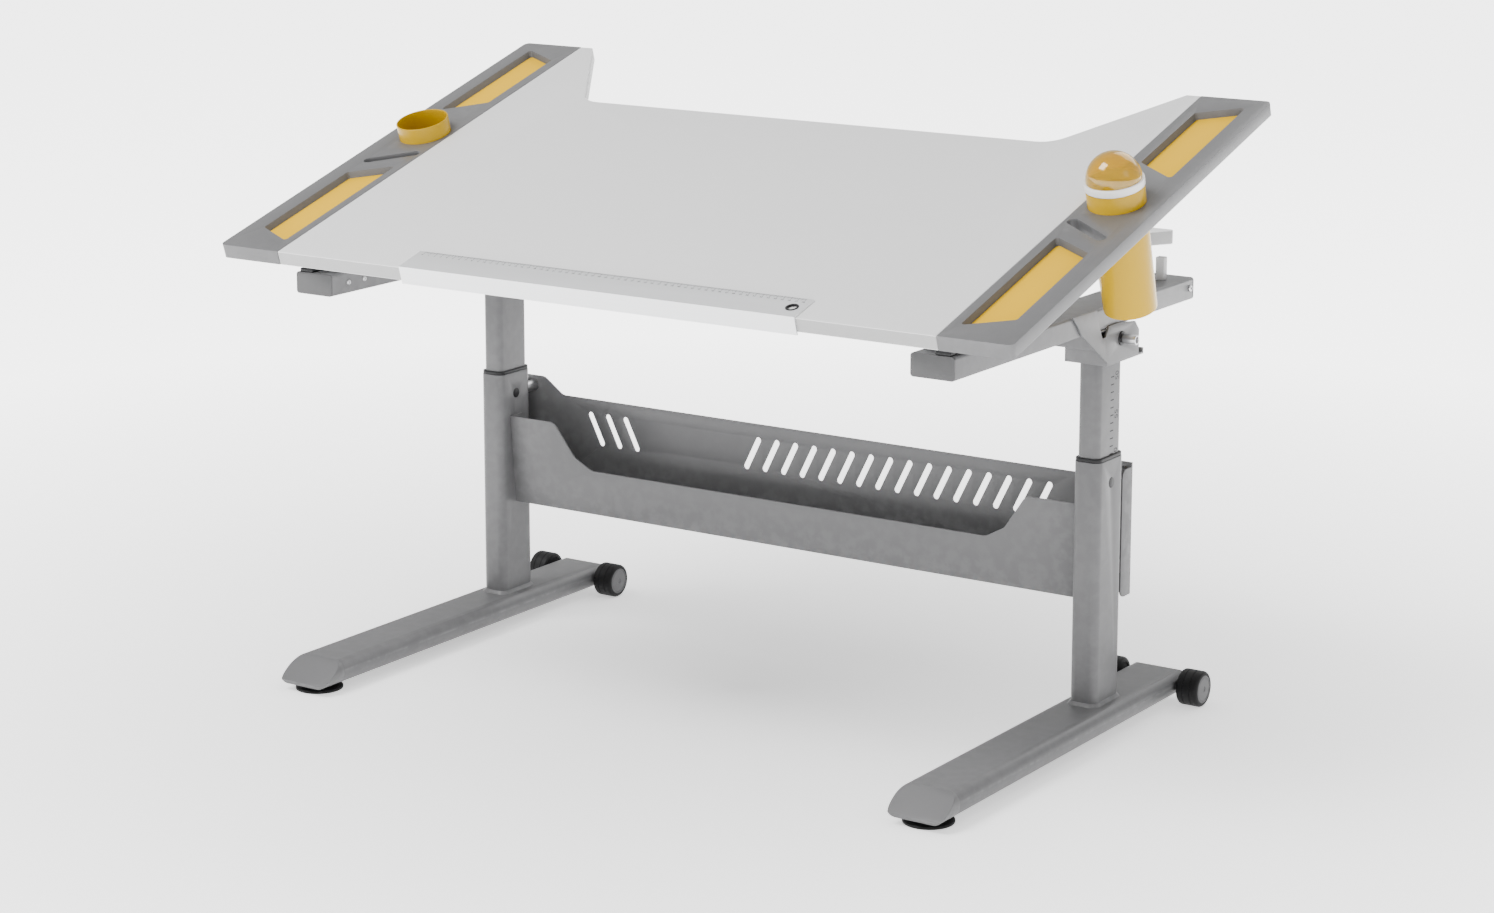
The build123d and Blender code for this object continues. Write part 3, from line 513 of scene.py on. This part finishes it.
def penCup(name):
    look = cupLook
    foot, mouth, wall = look["footRadius"], look["mouthRadius"], look["wall"]
    bottom, rim, turn = look["bottom"], look["rim"], look["lipRound"]
    cup = turnedShape(name, [
        (0, bottom + 0.0012), (foot - 0.007, bottom + 0.0012), (foot - 0.006, bottom), (foot - 0.0028, bottom),
        (foot - 0.0012, bottom + 0.0005), (foot - 0.0003, bottom + 0.0014), (foot, bottom + 0.003),
        (mouth - 0.0001, rim - turn), (mouth - 0.0003, rim - turn * 0.3), (mouth - 0.0008, rim),
        (mouth - wall + 0.0006, rim), (mouth - wall + 0.0001, rim - turn * 0.4), (mouth - wall, rim - turn * 1.3),
        (foot - wall, bottom + look["floorThickness"] + 0.004),
        (foot - wall - 0.0012, bottom + look["floorThickness"] + 0.001),
        (foot - wall - 0.004, bottom + look["floorThickness"]), (0, bottom + look["floorThickness"]),
    ])
    smoothShade(cup, 50)
    return cup


for side, sign in (("left", -1), ("right", 1)):
    cup = penCup("penCup" + side.capitalize())
    applyPlace(cup, boardMatrix @ Matrix.Translation((sign * cupLook["across"], cupLook["upBoard"], 0)))
    finishPiece(cup, materials["cup_yellow"], "pen_cup_" + side)

lidLook = {
    "gapOverRim": 0.0003, "ringTop": 0.032, "ringRadius": 0.0376, "sleeveRadius": 0.0342, "sleeveInner": 0.0326,
    "sleeveBottom": 0.017, "domeRadius": 0.035, "domeWall": 0.002, "arcSteps": 26,
}
lidMatrix = boardMatrix @ Matrix.Translation((cupLook["across"], cupLook["upBoard"], 0))
ringLow = cupLook["rim"] + lidLook["gapOverRim"]
lidRing = turnedShape("lidRing", [
    (lidLook["sleeveInner"], lidLook["sleeveBottom"]), (lidLook["sleeveRadius"] - 0.0005, lidLook["sleeveBottom"]),
    (lidLook["sleeveRadius"], lidLook["sleeveBottom"] + 0.0006), (lidLook["sleeveRadius"], ringLow),
    (lidLook["ringRadius"] - 0.0007, ringLow), (lidLook["ringRadius"] - 0.0001, ringLow + 0.0006),
    (lidLook["ringRadius"], ringLow + 0.002), (lidLook["ringRadius"], lidLook["ringTop"] - 0.0015),
    (lidLook["ringRadius"] - 0.0003, lidLook["ringTop"] - 0.0004),
    (lidLook["ringRadius"] - 0.0008, lidLook["ringTop"]),
    (lidLook["sleeveInner"], lidLook["ringTop"]), (lidLook["sleeveInner"], lidLook["sleeveBottom"]),
])
smoothShade(lidRing, 50)
applyPlace(lidRing, lidMatrix)
finishPiece(lidRing, materials["ring_white"], "lid_ring")

arc = [k * pi / 2 / lidLook["arcSteps"] for k in range(lidLook["arcSteps"] + 1)]
domeInner = lidLook["domeRadius"] - lidLook["domeWall"]
domeOuter, ringTop = lidLook["domeRadius"], lidLook["ringTop"]
domeProfile = [(domeInner * sin(angle), ringTop + domeInner * cos(angle)) for angle in arc]
domeProfile += [(domeOuter * cos(angle), ringTop + domeOuter * sin(angle)) for angle in arc]
lidDome = turnedShape("lidDome", domeProfile)
smoothShade(lidDome, 50)
applyPlace(lidDome, lidMatrix)
finishPiece(lidDome, materials["dome_amber"], "lid_dome")
print("cups and lid done")


# rollers with hub caps, and levelling pads

rollerLook = {
    "radius": 0.024, "halfWidth": 0.0155, "bore": 0.0040, "hubRadius": 0.0186, "hubDepth": 0.003,
    "middle": 0.0595, "shoulder": 0.0045,
}


def rollerTyre(name):
    radius, half, turn = rollerLook["radius"], rollerLook["halfWidth"], rollerLook["shoulder"]
    seat = half - rollerLook["hubDepth"]
    angles = [k * pi / 12 for k in range(7)]
    shoulder = [(radius - turn * (1 - cos(angle)), half - turn * (1 - sin(angle))) for angle in angles]
    profile = [(rollerLook["bore"], -half), (0.009, -half), (0.0095, -half + 0.0012), (0.0172, -half + 0.0012),
               (0.0178, -half)]
    profile += [(r, -h) for r, h in reversed(shoulder)]
    for groove in (-0.0052, 0.0052):
        profile += [(radius, groove - 0.0006), (radius - 0.0006, groove - 0.0003),
                    (radius - 0.0006, groove + 0.0003), (radius, groove + 0.0006)]
    profile += shoulder
    profile += [(rollerLook["hubRadius"], half), (rollerLook["hubRadius"], seat), (rollerLook["bore"], seat),
                (rollerLook["bore"], -half)]
    tyre = turnedShape(name, profile)
    smoothShade(tyre, 40)
    return tyre


def hubCap(name):
    half, radius = rollerLook["halfWidth"], rollerLook["hubRadius"]
    seat = half - rollerLook["hubDepth"]
    cap = turnedShape(name, [
        (0, seat), (radius - 0.0001, seat), (radius - 0.0001, half - 0.0007), (radius - 0.0005, half - 0.0002),
        (radius - 0.0012, half), (radius - 0.0022, half), (radius - 0.0026, half - 0.0006),
        (radius - 0.0031, half - 0.0006), (radius - 0.0035, half - 0.0002), (radius - 0.0060, half - 0.0001),
        (0.0042, half - 0.0001), (0.0036, half - 0.0007), (0, half - 0.0007),
    ])
    smoothShade(cap, 40)
    return cap


for side in ("left", "right"):
    low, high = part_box("roller_axle_" + side)
    hub = (low + high) / 2
    tyres, caps = [], []
    for end in (-1, 1):
        place = Matrix.Translation(hub + Vector((end * rollerLook["middle"], 0, 0)))
        place = place @ Matrix.Rotation(end * pi / 2, 4, "Y")
        tyre = rollerTyre("tyre")
        applyPlace(tyre, place)
        tyres.append(tyre)
        cap = hubCap("cap")
        applyPlace(cap, place)
        caps.append(cap)
    finishPiece(joinPieces(tyres, "rollers" + side.capitalize()), materials["black_rubber"], "rollers_" + side)
    finishPiece(joinPieces(caps, "hubCaps" + side.capitalize()), materials["hub_grey"], "hub_caps_" + side)

padLook = {
    "radius": 0.032, "neckRadius": 0.011, "neckTop": 0.009, "studBore": 0.00405, "discBore": 0.00705,
    "discLow": 0.0032, "discHigh": 0.0052,
}
for side in ("left", "right"):
    low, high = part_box("foot_pad_" + side)
    radius = padLook["radius"]
    pad = turnedShape("footPad" + side.capitalize(), [
        (0, 0.0006), (radius - 0.006, 0.0006), (radius - 0.005, 0), (radius - 0.0012, 0),
        (radius - 0.0003, 0.0003), (radius, 0.0012), (radius, 0.0026), (radius - 0.0006, 0.0036),
        (radius - 0.0022, 0.0042), (radius - 0.0075, 0.0058),
        (0.0128, 0.0061), (0.0114, 0.0066), (0.0110, 0.0076), (0.0110, 0.0085), (0.0105, padLook["neckTop"]),
        (padLook["studBore"], padLook["neckTop"]), (padLook["studBore"], padLook["discHigh"]),
        (padLook["discBore"], padLook["discHigh"]), (padLook["discBore"], padLook["discLow"]),
        (0, padLook["discLow"]),
    ])
    smoothShade(pad, 40)
    applyPlace(pad, Matrix.Translation(((low.x + high.x) / 2, (low.y + high.y) / 2, low.z)))
    finishPiece(pad, materials["black_rubber"], "foot_pad_" + side)
print("rollers and pads done")


# screws

railScrewLook = {
    "radius": 0.0045, "height": 0.0020, "socket": 0.52, "innerRadius": 0.0035, "outerPlace": (0.293, 0.553),
    "innerAlong": (-0.280, -0.248), "innerHeight": 0.552,
}
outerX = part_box("rail_screws")[1].x - railScrewLook["height"]
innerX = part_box("rail_right")[0].x
heads = []
for sign in (-1, 1):
    turnOut = Matrix.Rotation(sign * pi / 2, 4, "Y")
    head = socketScrew("head", railScrewLook)
    applyPlace(head, Matrix.Translation((sign * outerX, *railScrewLook["outerPlace"])) @ turnOut)
    heads.append(head)
    turnIn = Matrix.Rotation(-sign * pi / 2, 4, "Y")
    for y in railScrewLook["innerAlong"]:
        head = socketScrew("head", {**railScrewLook, "radius": railScrewLook["innerRadius"]})
        applyPlace(head, Matrix.Translation((sign * innerX, y, railScrewLook["innerHeight"])) @ turnIn)
        heads.append(head)
finishPiece(joinPieces(heads, "railScrews"), materials["steel"], "rail_screws")

trayBoltLook = {"radius": 0.007, "height": 0.004, "socket": 0.5}
low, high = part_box("tray_bolts")
heads = []
for sign in (-1, 1):
    for z in (low.z + trayBoltLook["radius"], high.z - trayBoltLook["radius"]):
        head = socketScrew("head", trayBoltLook)
        place = Matrix.Translation((sign * (high.x - trayBoltLook["radius"]), low.y, z))
        applyPlace(head, place @ Matrix.Rotation(-pi / 2, 4, "X"))
        heads.append(head)
finishPiece(joinPieces(heads, "trayBolts"), materials["steel"], "tray_bolts")
print("screws done")


# printed scales: generic centimetre marks on the ruler and on the right inner column

def tickRow(name, count, pitch, length, width, thickness):
    # a row of marks along X from the origin, reaching +Y
    deselectAll()
    middle = (0, length / 2, thickness / 2)
    bpy.ops.mesh.primitive_cube_add(size=1, location=middle, scale=(width, length, thickness))
    row = bpy.context.object
    row.name = name
    applyPlace(row)
    applyModifier(row, "ARRAY", "repeat", count=count, use_relative_offset=False, use_constant_offset=True,
                  constant_offset_displace=(pitch, 0, 0))
    return row


def numeral(value, size, thickness, place, turn=0.0):
    deselectAll()
    bpy.ops.object.text_add(location=(0, 0, 0))
    text = bpy.context.object
    text.data.body = str(value)
    text.data.size = size
    text.data.align_x = "CENTER"
    text.data.align_y = "CENTER"
    text.data.resolution_u = 3
    text.data.extrude = thickness / 2
    bpy.ops.object.convert(target="MESH")
    text = bpy.context.object
    applyPlace(text, Matrix.Translation(place) @ Matrix.Rotation(turn, 4, "Z"))
    return text


rulerLook = {
    "middle": 0.0075, "length": 0.600, "margin": 0.010, "rearEdge": 0.045, "topFace": 0.0023,
    "inkThickness": 0.00004, "textSize": 0.0042, "frontEdge": -0.0024, "underside": 0.0003, "lipInner": -0.0003,
    "lipBottom": -0.0220, "holeAcross": 0.2837, "holeUpBoard": 0.0199, "holeRadius": 0.0085, "bendRound": 0.0011,
    "rearChamfer": 0.0009, "edgeBreak": 0.00025, "marksInset": 0.0012, "numberDrop": 0.0085,
    "ticks": {"rulerTicks": (1, 0.0026, 0.00022), "fives": (5, 0.0040, 0.00036), "tens": (10, 0.0056, 0.00050)},
}


def boxBetween(name, low, high):
    deselectAll()
    low, high = Vector(low), Vector(high)
    bpy.ops.mesh.primitive_cube_add(size=1, location=(low + high) / 2, scale=high - low)
    piece = bpy.context.object
    piece.name = name
    applyPlace(piece)
    return piece


# a sheet with its front edge folded down over the board, its rear edge chamfered under the marks
rulerHalf = rulerLook["length"] / 2
ruler = boxBetween("drawingRuler", (-rulerHalf, rulerLook["frontEdge"], rulerLook["underside"]),
                   (rulerHalf, rulerLook["rearEdge"], rulerLook["topFace"]))
lip = boxBetween("lip", (-rulerHalf, rulerLook["frontEdge"], rulerLook["lipBottom"]),
                 (rulerHalf, rulerLook["lipInner"], rulerLook["topFace"] - 0.0001))
applyModifier(ruler, "BOOLEAN", "fold", operation="UNION", object=lip, solver="EXACT")
bpy.data.objects.remove(lip)
editMesh(ruler, "EDGE")
selectEdges(ruler, lambda a, b: min(a.y, b.y) < rulerLook["frontEdge"] + 0.0001
            and min(a.z, b.z) > rulerLook["topFace"] - 0.0002 and abs(a.x - b.x) > rulerHalf)
bpy.ops.mesh.bevel(offset=rulerLook["bendRound"], segments=4, affect="EDGES")
bpy.ops.mesh.select_all(action="DESELECT")
selectEdges(ruler, lambda a, b: min(a.y, b.y) > rulerLook["rearEdge"] - 0.0001
            and min(a.z, b.z) > rulerLook["topFace"] - 0.0002)
bpy.ops.mesh.bevel(offset=rulerLook["rearChamfer"], segments=1, affect="EDGES")
objectMode()
deselectAll()
bpy.ops.mesh.primitive_cylinder_add(
    vertices=64, radius=rulerLook["holeRadius"], depth=0.02,
    location=(rulerLook["holeAcross"], rulerLook["holeUpBoard"], rulerLook["topFace"]),
)
cutWith(ruler, bpy.context.object)
bevelEdges(ruler, rulerLook["edgeBreak"], 2, 30)
smoothShade(ruler, 30)
applyPlace(ruler, boardMatrix @ Matrix.Translation((rulerLook["middle"], 0, 0)))
finishPiece(ruler, materials["ruler_metal"], "drawing_ruler")

marks = int(round((rulerLook["length"] - 2 * rulerLook["margin"]) * 1000))
firstMark = rulerLook["middle"] - rulerLook["length"] / 2 + rulerLook["margin"]
ink = rulerLook["inkThickness"]
rows = [
    tickRow(name, marks // step + 1, step * 0.001, length, width, ink)
    for name, (step, length, width) in rulerLook["ticks"].items()
]
for row in rows:
    # marks hang down from the rear edge
    applyPlace(row, Matrix.Scale(-1, 4, (0, 1, 0)))
    editMesh(row)
    bpy.ops.mesh.select_all(action="SELECT")
    bpy.ops.mesh.normals_make_consistent(inside=False)
    objectMode()
numbers = [
    numeral(k, rulerLook["textSize"], ink, (k * 0.010, -rulerLook["numberDrop"], ink / 2))
    for k in range(marks // 10 + 1)
]
rulerScale = joinPieces(rows + numbers, "rulerScale")
marksEdge = rulerLook["rearEdge"] - rulerLook["marksInset"]
applyPlace(rulerScale, boardMatrix @ Matrix.Translation((firstMark, marksEdge, rulerLook["topFace"])))
finishPiece(rulerScale, inkMaterial, body="ruler")

columnScaleLook = {
    "topMark": 0.468, "bottomMark": 0.188, "pitch": 0.010, "tickLength": 0.0085,
    "tickWidth": 0.0016, "textSize": 0.0125, "firstNumber": 50, "numberStep": 5,
    "numberGap": 0.0080,
}
low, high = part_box("inner_column_right")
scaleLength = columnScaleLook["topMark"] - columnScaleLook["bottomMark"]
scaleCount = int(round(scaleLength / columnScaleLook["pitch"])) + 1
numberPitch = columnScaleLook["numberStep"] * columnScaleLook["pitch"]
numberEdge = columnScaleLook["tickLength"] + columnScaleLook["numberGap"]
row = tickRow(
    "columnScale", scaleCount, columnScaleLook["pitch"], columnScaleLook["tickLength"],
    columnScaleLook["tickWidth"], ink,
)
labels = [
    numeral(columnScaleLook["firstNumber"] + columnScaleLook["numberStep"] * k, columnScaleLook["textSize"], ink,
            (numberPitch * k, numberEdge, ink / 2), pi)
    for k in range(scaleCount // columnScaleLook["numberStep"] + 1) if numberPitch * k <= scaleLength
]
columnScale = joinPieces([row] + labels, "columnScale")
# its X runs down the column and its Y towards the back
faceTurn = Matrix(((0, 0, 1, 0), (0, 1, 0, 0), (-1, 0, 0, 0), (0, 0, 0, 1)))
applyPlace(columnScale, Matrix.Translation((high.x, (low.y + high.y) / 2, columnScaleLook["topMark"])) @ faceTurn)
finishPiece(columnScale, inkMaterial, body="lift_frame")
print("scales done")


# frame pieces whose CAD shape is kept, with their edges broken

edgeBreaks = {
    "foot_beam_left": 0.0006, "foot_beam_right": 0.0006,
    "outer_column_left": 0.0006, "outer_column_right": 0.0006,
    "inner_column_left": 0.0006, "inner_column_right": 0.0006,
    "column_collars": 0.0006, "column_plugs": 0.0005, "nut_posts": 0.0004, "lift_nuts": 0.0006,
    "cross_tray": 0.0004, "tray_spacers": 0.0005,
    "head_bracket_left": 0.0007, "head_bracket_right": 0.0007, "crossbeam": 0.0008,
    "rail_left": 0.0003, "rail_right": 0.0003, "rail_end_caps": 0.0006,
    "front_bumpers": 0.0010, "hinge_blocks": 0.0008, "board_hinges": 0.0006,
    "shelf_brackets": 0.0006, "rest_posts": 0.0006, "shaft_bushings": 0.0004,
    "crank_shaft": 0.0006, "crank_gears": 0.0003, "lead_screw_left": 0.0004, "lead_screw_right": 0.0004,
    "axle_bushings": 0.0004, "roller_axle_left": 0.0004, "roller_axle_right": 0.0004, "foot_studs": 0.0003,
    "rear_shelf": 0.0012, "drawing_board": 0.0010, "joining_plates": 0.0004,
    "side_strip_left": 0.0013, "side_strip_right": 0.0013, "tray_mats": 0.0005,
    "strut_mounts": 0.0005, "strut_tube_left": 0.0006, "strut_tube_right": 0.0006,
    "strut_rod_left": 0.0004, "strut_rod_right": 0.0004, "strut_brackets": 0.0005,
    "ruler_ring": 0.0004,
}
kept = {}
for node, width in edgeBreaks.items():
    piece = nodeCopy(node, node + "_piece")
    bevelEdges(piece, width)
    smoothShade(piece)
    kept[node] = finishPiece(piece, materials[slotOf[node]], node)
# the rail end caps take the darker copy of the frame paint
kept["rail_end_caps"].data.materials[0] = capMaterial
for node, faceNormal in (("drawing_board", boardNormal), ("rear_shelf", Vector((0, 0, 1)))):
    # the laminate's edge band runs round every side
    kept[node].data.materials.append(bandMaterial)
    for face in kept[node].data.polygons:
        face.material_index = 1 if abs(face.normal.dot(faceNormal)) < 0.3 else 0
print("frame pieces:", len(edgeBreaks))

# the feet's front caps slope down from the seam, where a thin black plate is painted shade that darkens the groove
capLook = {
    "topRound": 0.015, "lowRound": 0.014, "noseHeight": 0.0145, "softEdge": 0.0045, "seamShadeInset": 0.0008,
    "seamShadeThickness": 0.0003, "halfWidth": 0.040, "slopeSetBack": 0.0006, "softReach": 0.0012,
}


def footSlice(name, centre, low, high, shrink=0.0):
    # a length of the foot's rounded section
    half = capLook["halfWidth"] - shrink
    piece = boxBetween(name, (centre - half, low.y, low.z + shrink), (centre + half, high.y, high.z - shrink))
    editMesh(piece, "EDGE")
    for edgeHeight, turn in ((high.z - shrink, capLook["topRound"]), (low.z + shrink, capLook["lowRound"])):
        bpy.ops.mesh.select_all(action="DESELECT")
        selectEdges(piece, lambda a, b: abs(a.y - b.y) > (high.y - low.y) / 2
                    and abs(a.z - edgeHeight) < 0.0001 and abs(b.z - edgeHeight) < 0.0001)
        bpy.ops.mesh.bevel(offset=turn - shrink, segments=10, affect="EDGES")
    objectMode()
    return piece


low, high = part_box("foot_caps")
footMiddle = (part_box("foot_beam_right")[0].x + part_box("foot_beam_right")[1].x) / 2
slopeNormal = Vector((0, -(high.z - capLook["noseHeight"]), high.y - low.y)).normalized()
slopePoint = Vector((0, high.y - capLook["slopeSetBack"], high.z))
caps, seamShadePlates = [], []
for sign in (-1, 1):
    cap = footSlice("cap", sign * footMiddle, low, high)
    editMesh(cap, "FACE")
    bpy.ops.mesh.select_all(action="SELECT")
    bpy.ops.mesh.bisect(plane_co=slopePoint, plane_no=slopeNormal, clear_outer=True, use_fill=True)
    bpy.ops.mesh.select_mode(type="EDGE")
    bpy.ops.mesh.select_all(action="DESELECT")
    selectEdges(cap, lambda a, b: max(a.y, b.y) < high.y - capLook["softReach"] and (
        max(abs((a - slopePoint).dot(slopeNormal)), abs((b - slopePoint).dot(slopeNormal))) < 0.0001
        or max(a.y, b.y) < low.y + 0.0001))
    bpy.ops.mesh.bevel(offset=capLook["softEdge"], segments=5, affect="EDGES", clamp_overlap=True)
    objectMode()
    smoothShade(cap, 40)
    caps.append(cap)
    # painted shade: a thin black plate set into the gap between cap and beam
    seamShadeLow = Vector((0, high.y, low.z))
    seamShadeHigh = Vector((0, high.y + capLook["seamShadeThickness"], high.z))
    seamShadePlates.append(footSlice("seam", sign * footMiddle, seamShadeLow, seamShadeHigh, capLook["seamShadeInset"]))
finishPiece(joinPieces(caps, "footCaps"), materials["frame_paint"], "foot_caps")
finishPiece(joinPieces(seamShadePlates, "footSeamShade"), materials["black_plastic"], body="base")
print("foot caps done")

# a weld bead round each column's foot
beadLook = {"rise": 0.0045, "spread": 0.0035, "cornerRound": 0.011, "cornerSteps": 8}
for side in ("left", "right"):
    low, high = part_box("outer_column_" + side)
    bead = boxBetween("weldBead" + side.capitalize(), low, (high.x, high.y, low.z + beadLook["rise"]))
    editMesh(bead, "EDGE")
    selectEdges(bead, lambda a, b: abs(a.z - b.z) > beadLook["rise"] / 2)
    bpy.ops.mesh.bevel(offset=beadLook["cornerRound"], segments=beadLook["cornerSteps"], affect="EDGES")
    bpy.ops.mesh.select_mode(type="FACE")
    bpy.ops.mesh.select_all(action="DESELECT")
    selectFaces(bead, lambda centre, normal: normal.z < -0.9)
    size = high - low
    bpy.ops.transform.resize(value=(
        1 + 2 * beadLook["spread"] / size.x, 1 + 2 * beadLook["spread"] / size.y, 1,
    ))
    objectMode()
    smoothShade(bead, 40)
    finishPiece(bead, materials["frame_paint"], body="base")
print("weld beads done")

# floor, lights and camera

studio = {
    "floorColor": (0.94, 0.94, 0.94), "floorSize": 60.0, "worldLight": 0.78,
    "glowInner": 0.0, "glowOuter": 2.4, "glowStrength": 3.6,
    "keyPlace": (-1.8, -2.6, 4.6), "keyPower": 280.0, "keySize": 2.4,
    "fillPlace": (4.2, -0.6, 2.4), "fillPower": 10.0, "fillSize": 1.6,
    "backPlace": (0.5, 3.6, 3.4), "backPower": 70.0, "backSize": 3.0,
    "lightAim": (0, 0, 0.4),
}
deselectAll()
bpy.ops.mesh.primitive_plane_add(size=studio["floorSize"], location=(0, 0, 0))
floor = bpy.context.object
floor.name = "studioFloor"
applyPlace(floor)
floorMaterial = coatedMaterial("studioFloor", {
    "color": studio["floorColor"], "roughness": 0.7, "grainScale": 60.0, "bump": 0.01, "toneDrift": 0.004,
    "dust": 0.0, "wear": 0.0, "specular": 0.2,
})
tree = floorMaterial.node_tree
# painted light: the floor glows, from none at the desk to full strength at glowOuter, so the far floor reads white
# and a darker pool lies under the desk
distance = tree.nodes.new("ShaderNodeVectorMath")
distance.operation = "LENGTH"
tree.links.new(tree.nodes.new("ShaderNodeTexCoord").outputs["Object"], distance.inputs[0])
glow = rampNode(tree, distance.outputs["Value"], studio["glowInner"], studio["glowOuter"])
glow = mathNode(tree, "MULTIPLY", glow, studio["glowStrength"])
tree.nodes["Principled BSDF"].inputs["Emission Color"].default_value = (1, 1, 1, 1)
tree.links.new(glow, tree.nodes["Principled BSDF"].inputs["Emission Strength"])
floor.data.materials.append(floorMaterial)

world = bpy.data.worlds.new("studioWorld")
bpy.context.scene.world = world
world.use_nodes = True
world.node_tree.nodes["Background"].inputs["Color"].default_value = (1, 1, 1, 1)
world.node_tree.nodes["Background"].inputs["Strength"].default_value = studio["worldLight"]


def softLight(name, place, power, size):
    deselectAll()
    bpy.ops.object.light_add(type="AREA", location=place)
    light = bpy.context.object
    light.name = name
    light.data.energy = power
    light.data.size = size
    light.rotation_euler = (Vector(studio["lightAim"]) - Vector(place)).to_track_quat("-Z", "Y").to_euler()
    return light


for label in ("key", "fill", "back"):
    softLight(label + "Light", studio[label + "Place"], studio[label + "Power"], studio[label + "Size"])

viewpoint = {
    "place": (2.4113, -3.5999, 1.3603), "yaw": 33.78, "pitch": 10.84, "sensor": 36.0, "lens": 80.79518,
    "shift": -0.1048, "farthest": 100.0,
}
yaw = radians(viewpoint["yaw"])
pitch = radians(viewpoint["pitch"])
lookAlong = Vector((-sin(yaw) * cos(pitch), cos(yaw) * cos(pitch), -sin(pitch)))
deselectAll()
bpy.ops.object.camera_add(location=viewpoint["place"])
camera = bpy.context.object
camera.name = "studioCamera"
camera.rotation_euler = lookAlong.to_track_quat("-Z", "Y").to_euler()
camera.data.sensor_width = viewpoint["sensor"]
camera.data.lens = viewpoint["lens"]
camera.data.shift_y = viewpoint["shift"]
camera.data.clip_end = viewpoint["farthest"]
bpy.context.scene.camera = camera
print("studio ready")
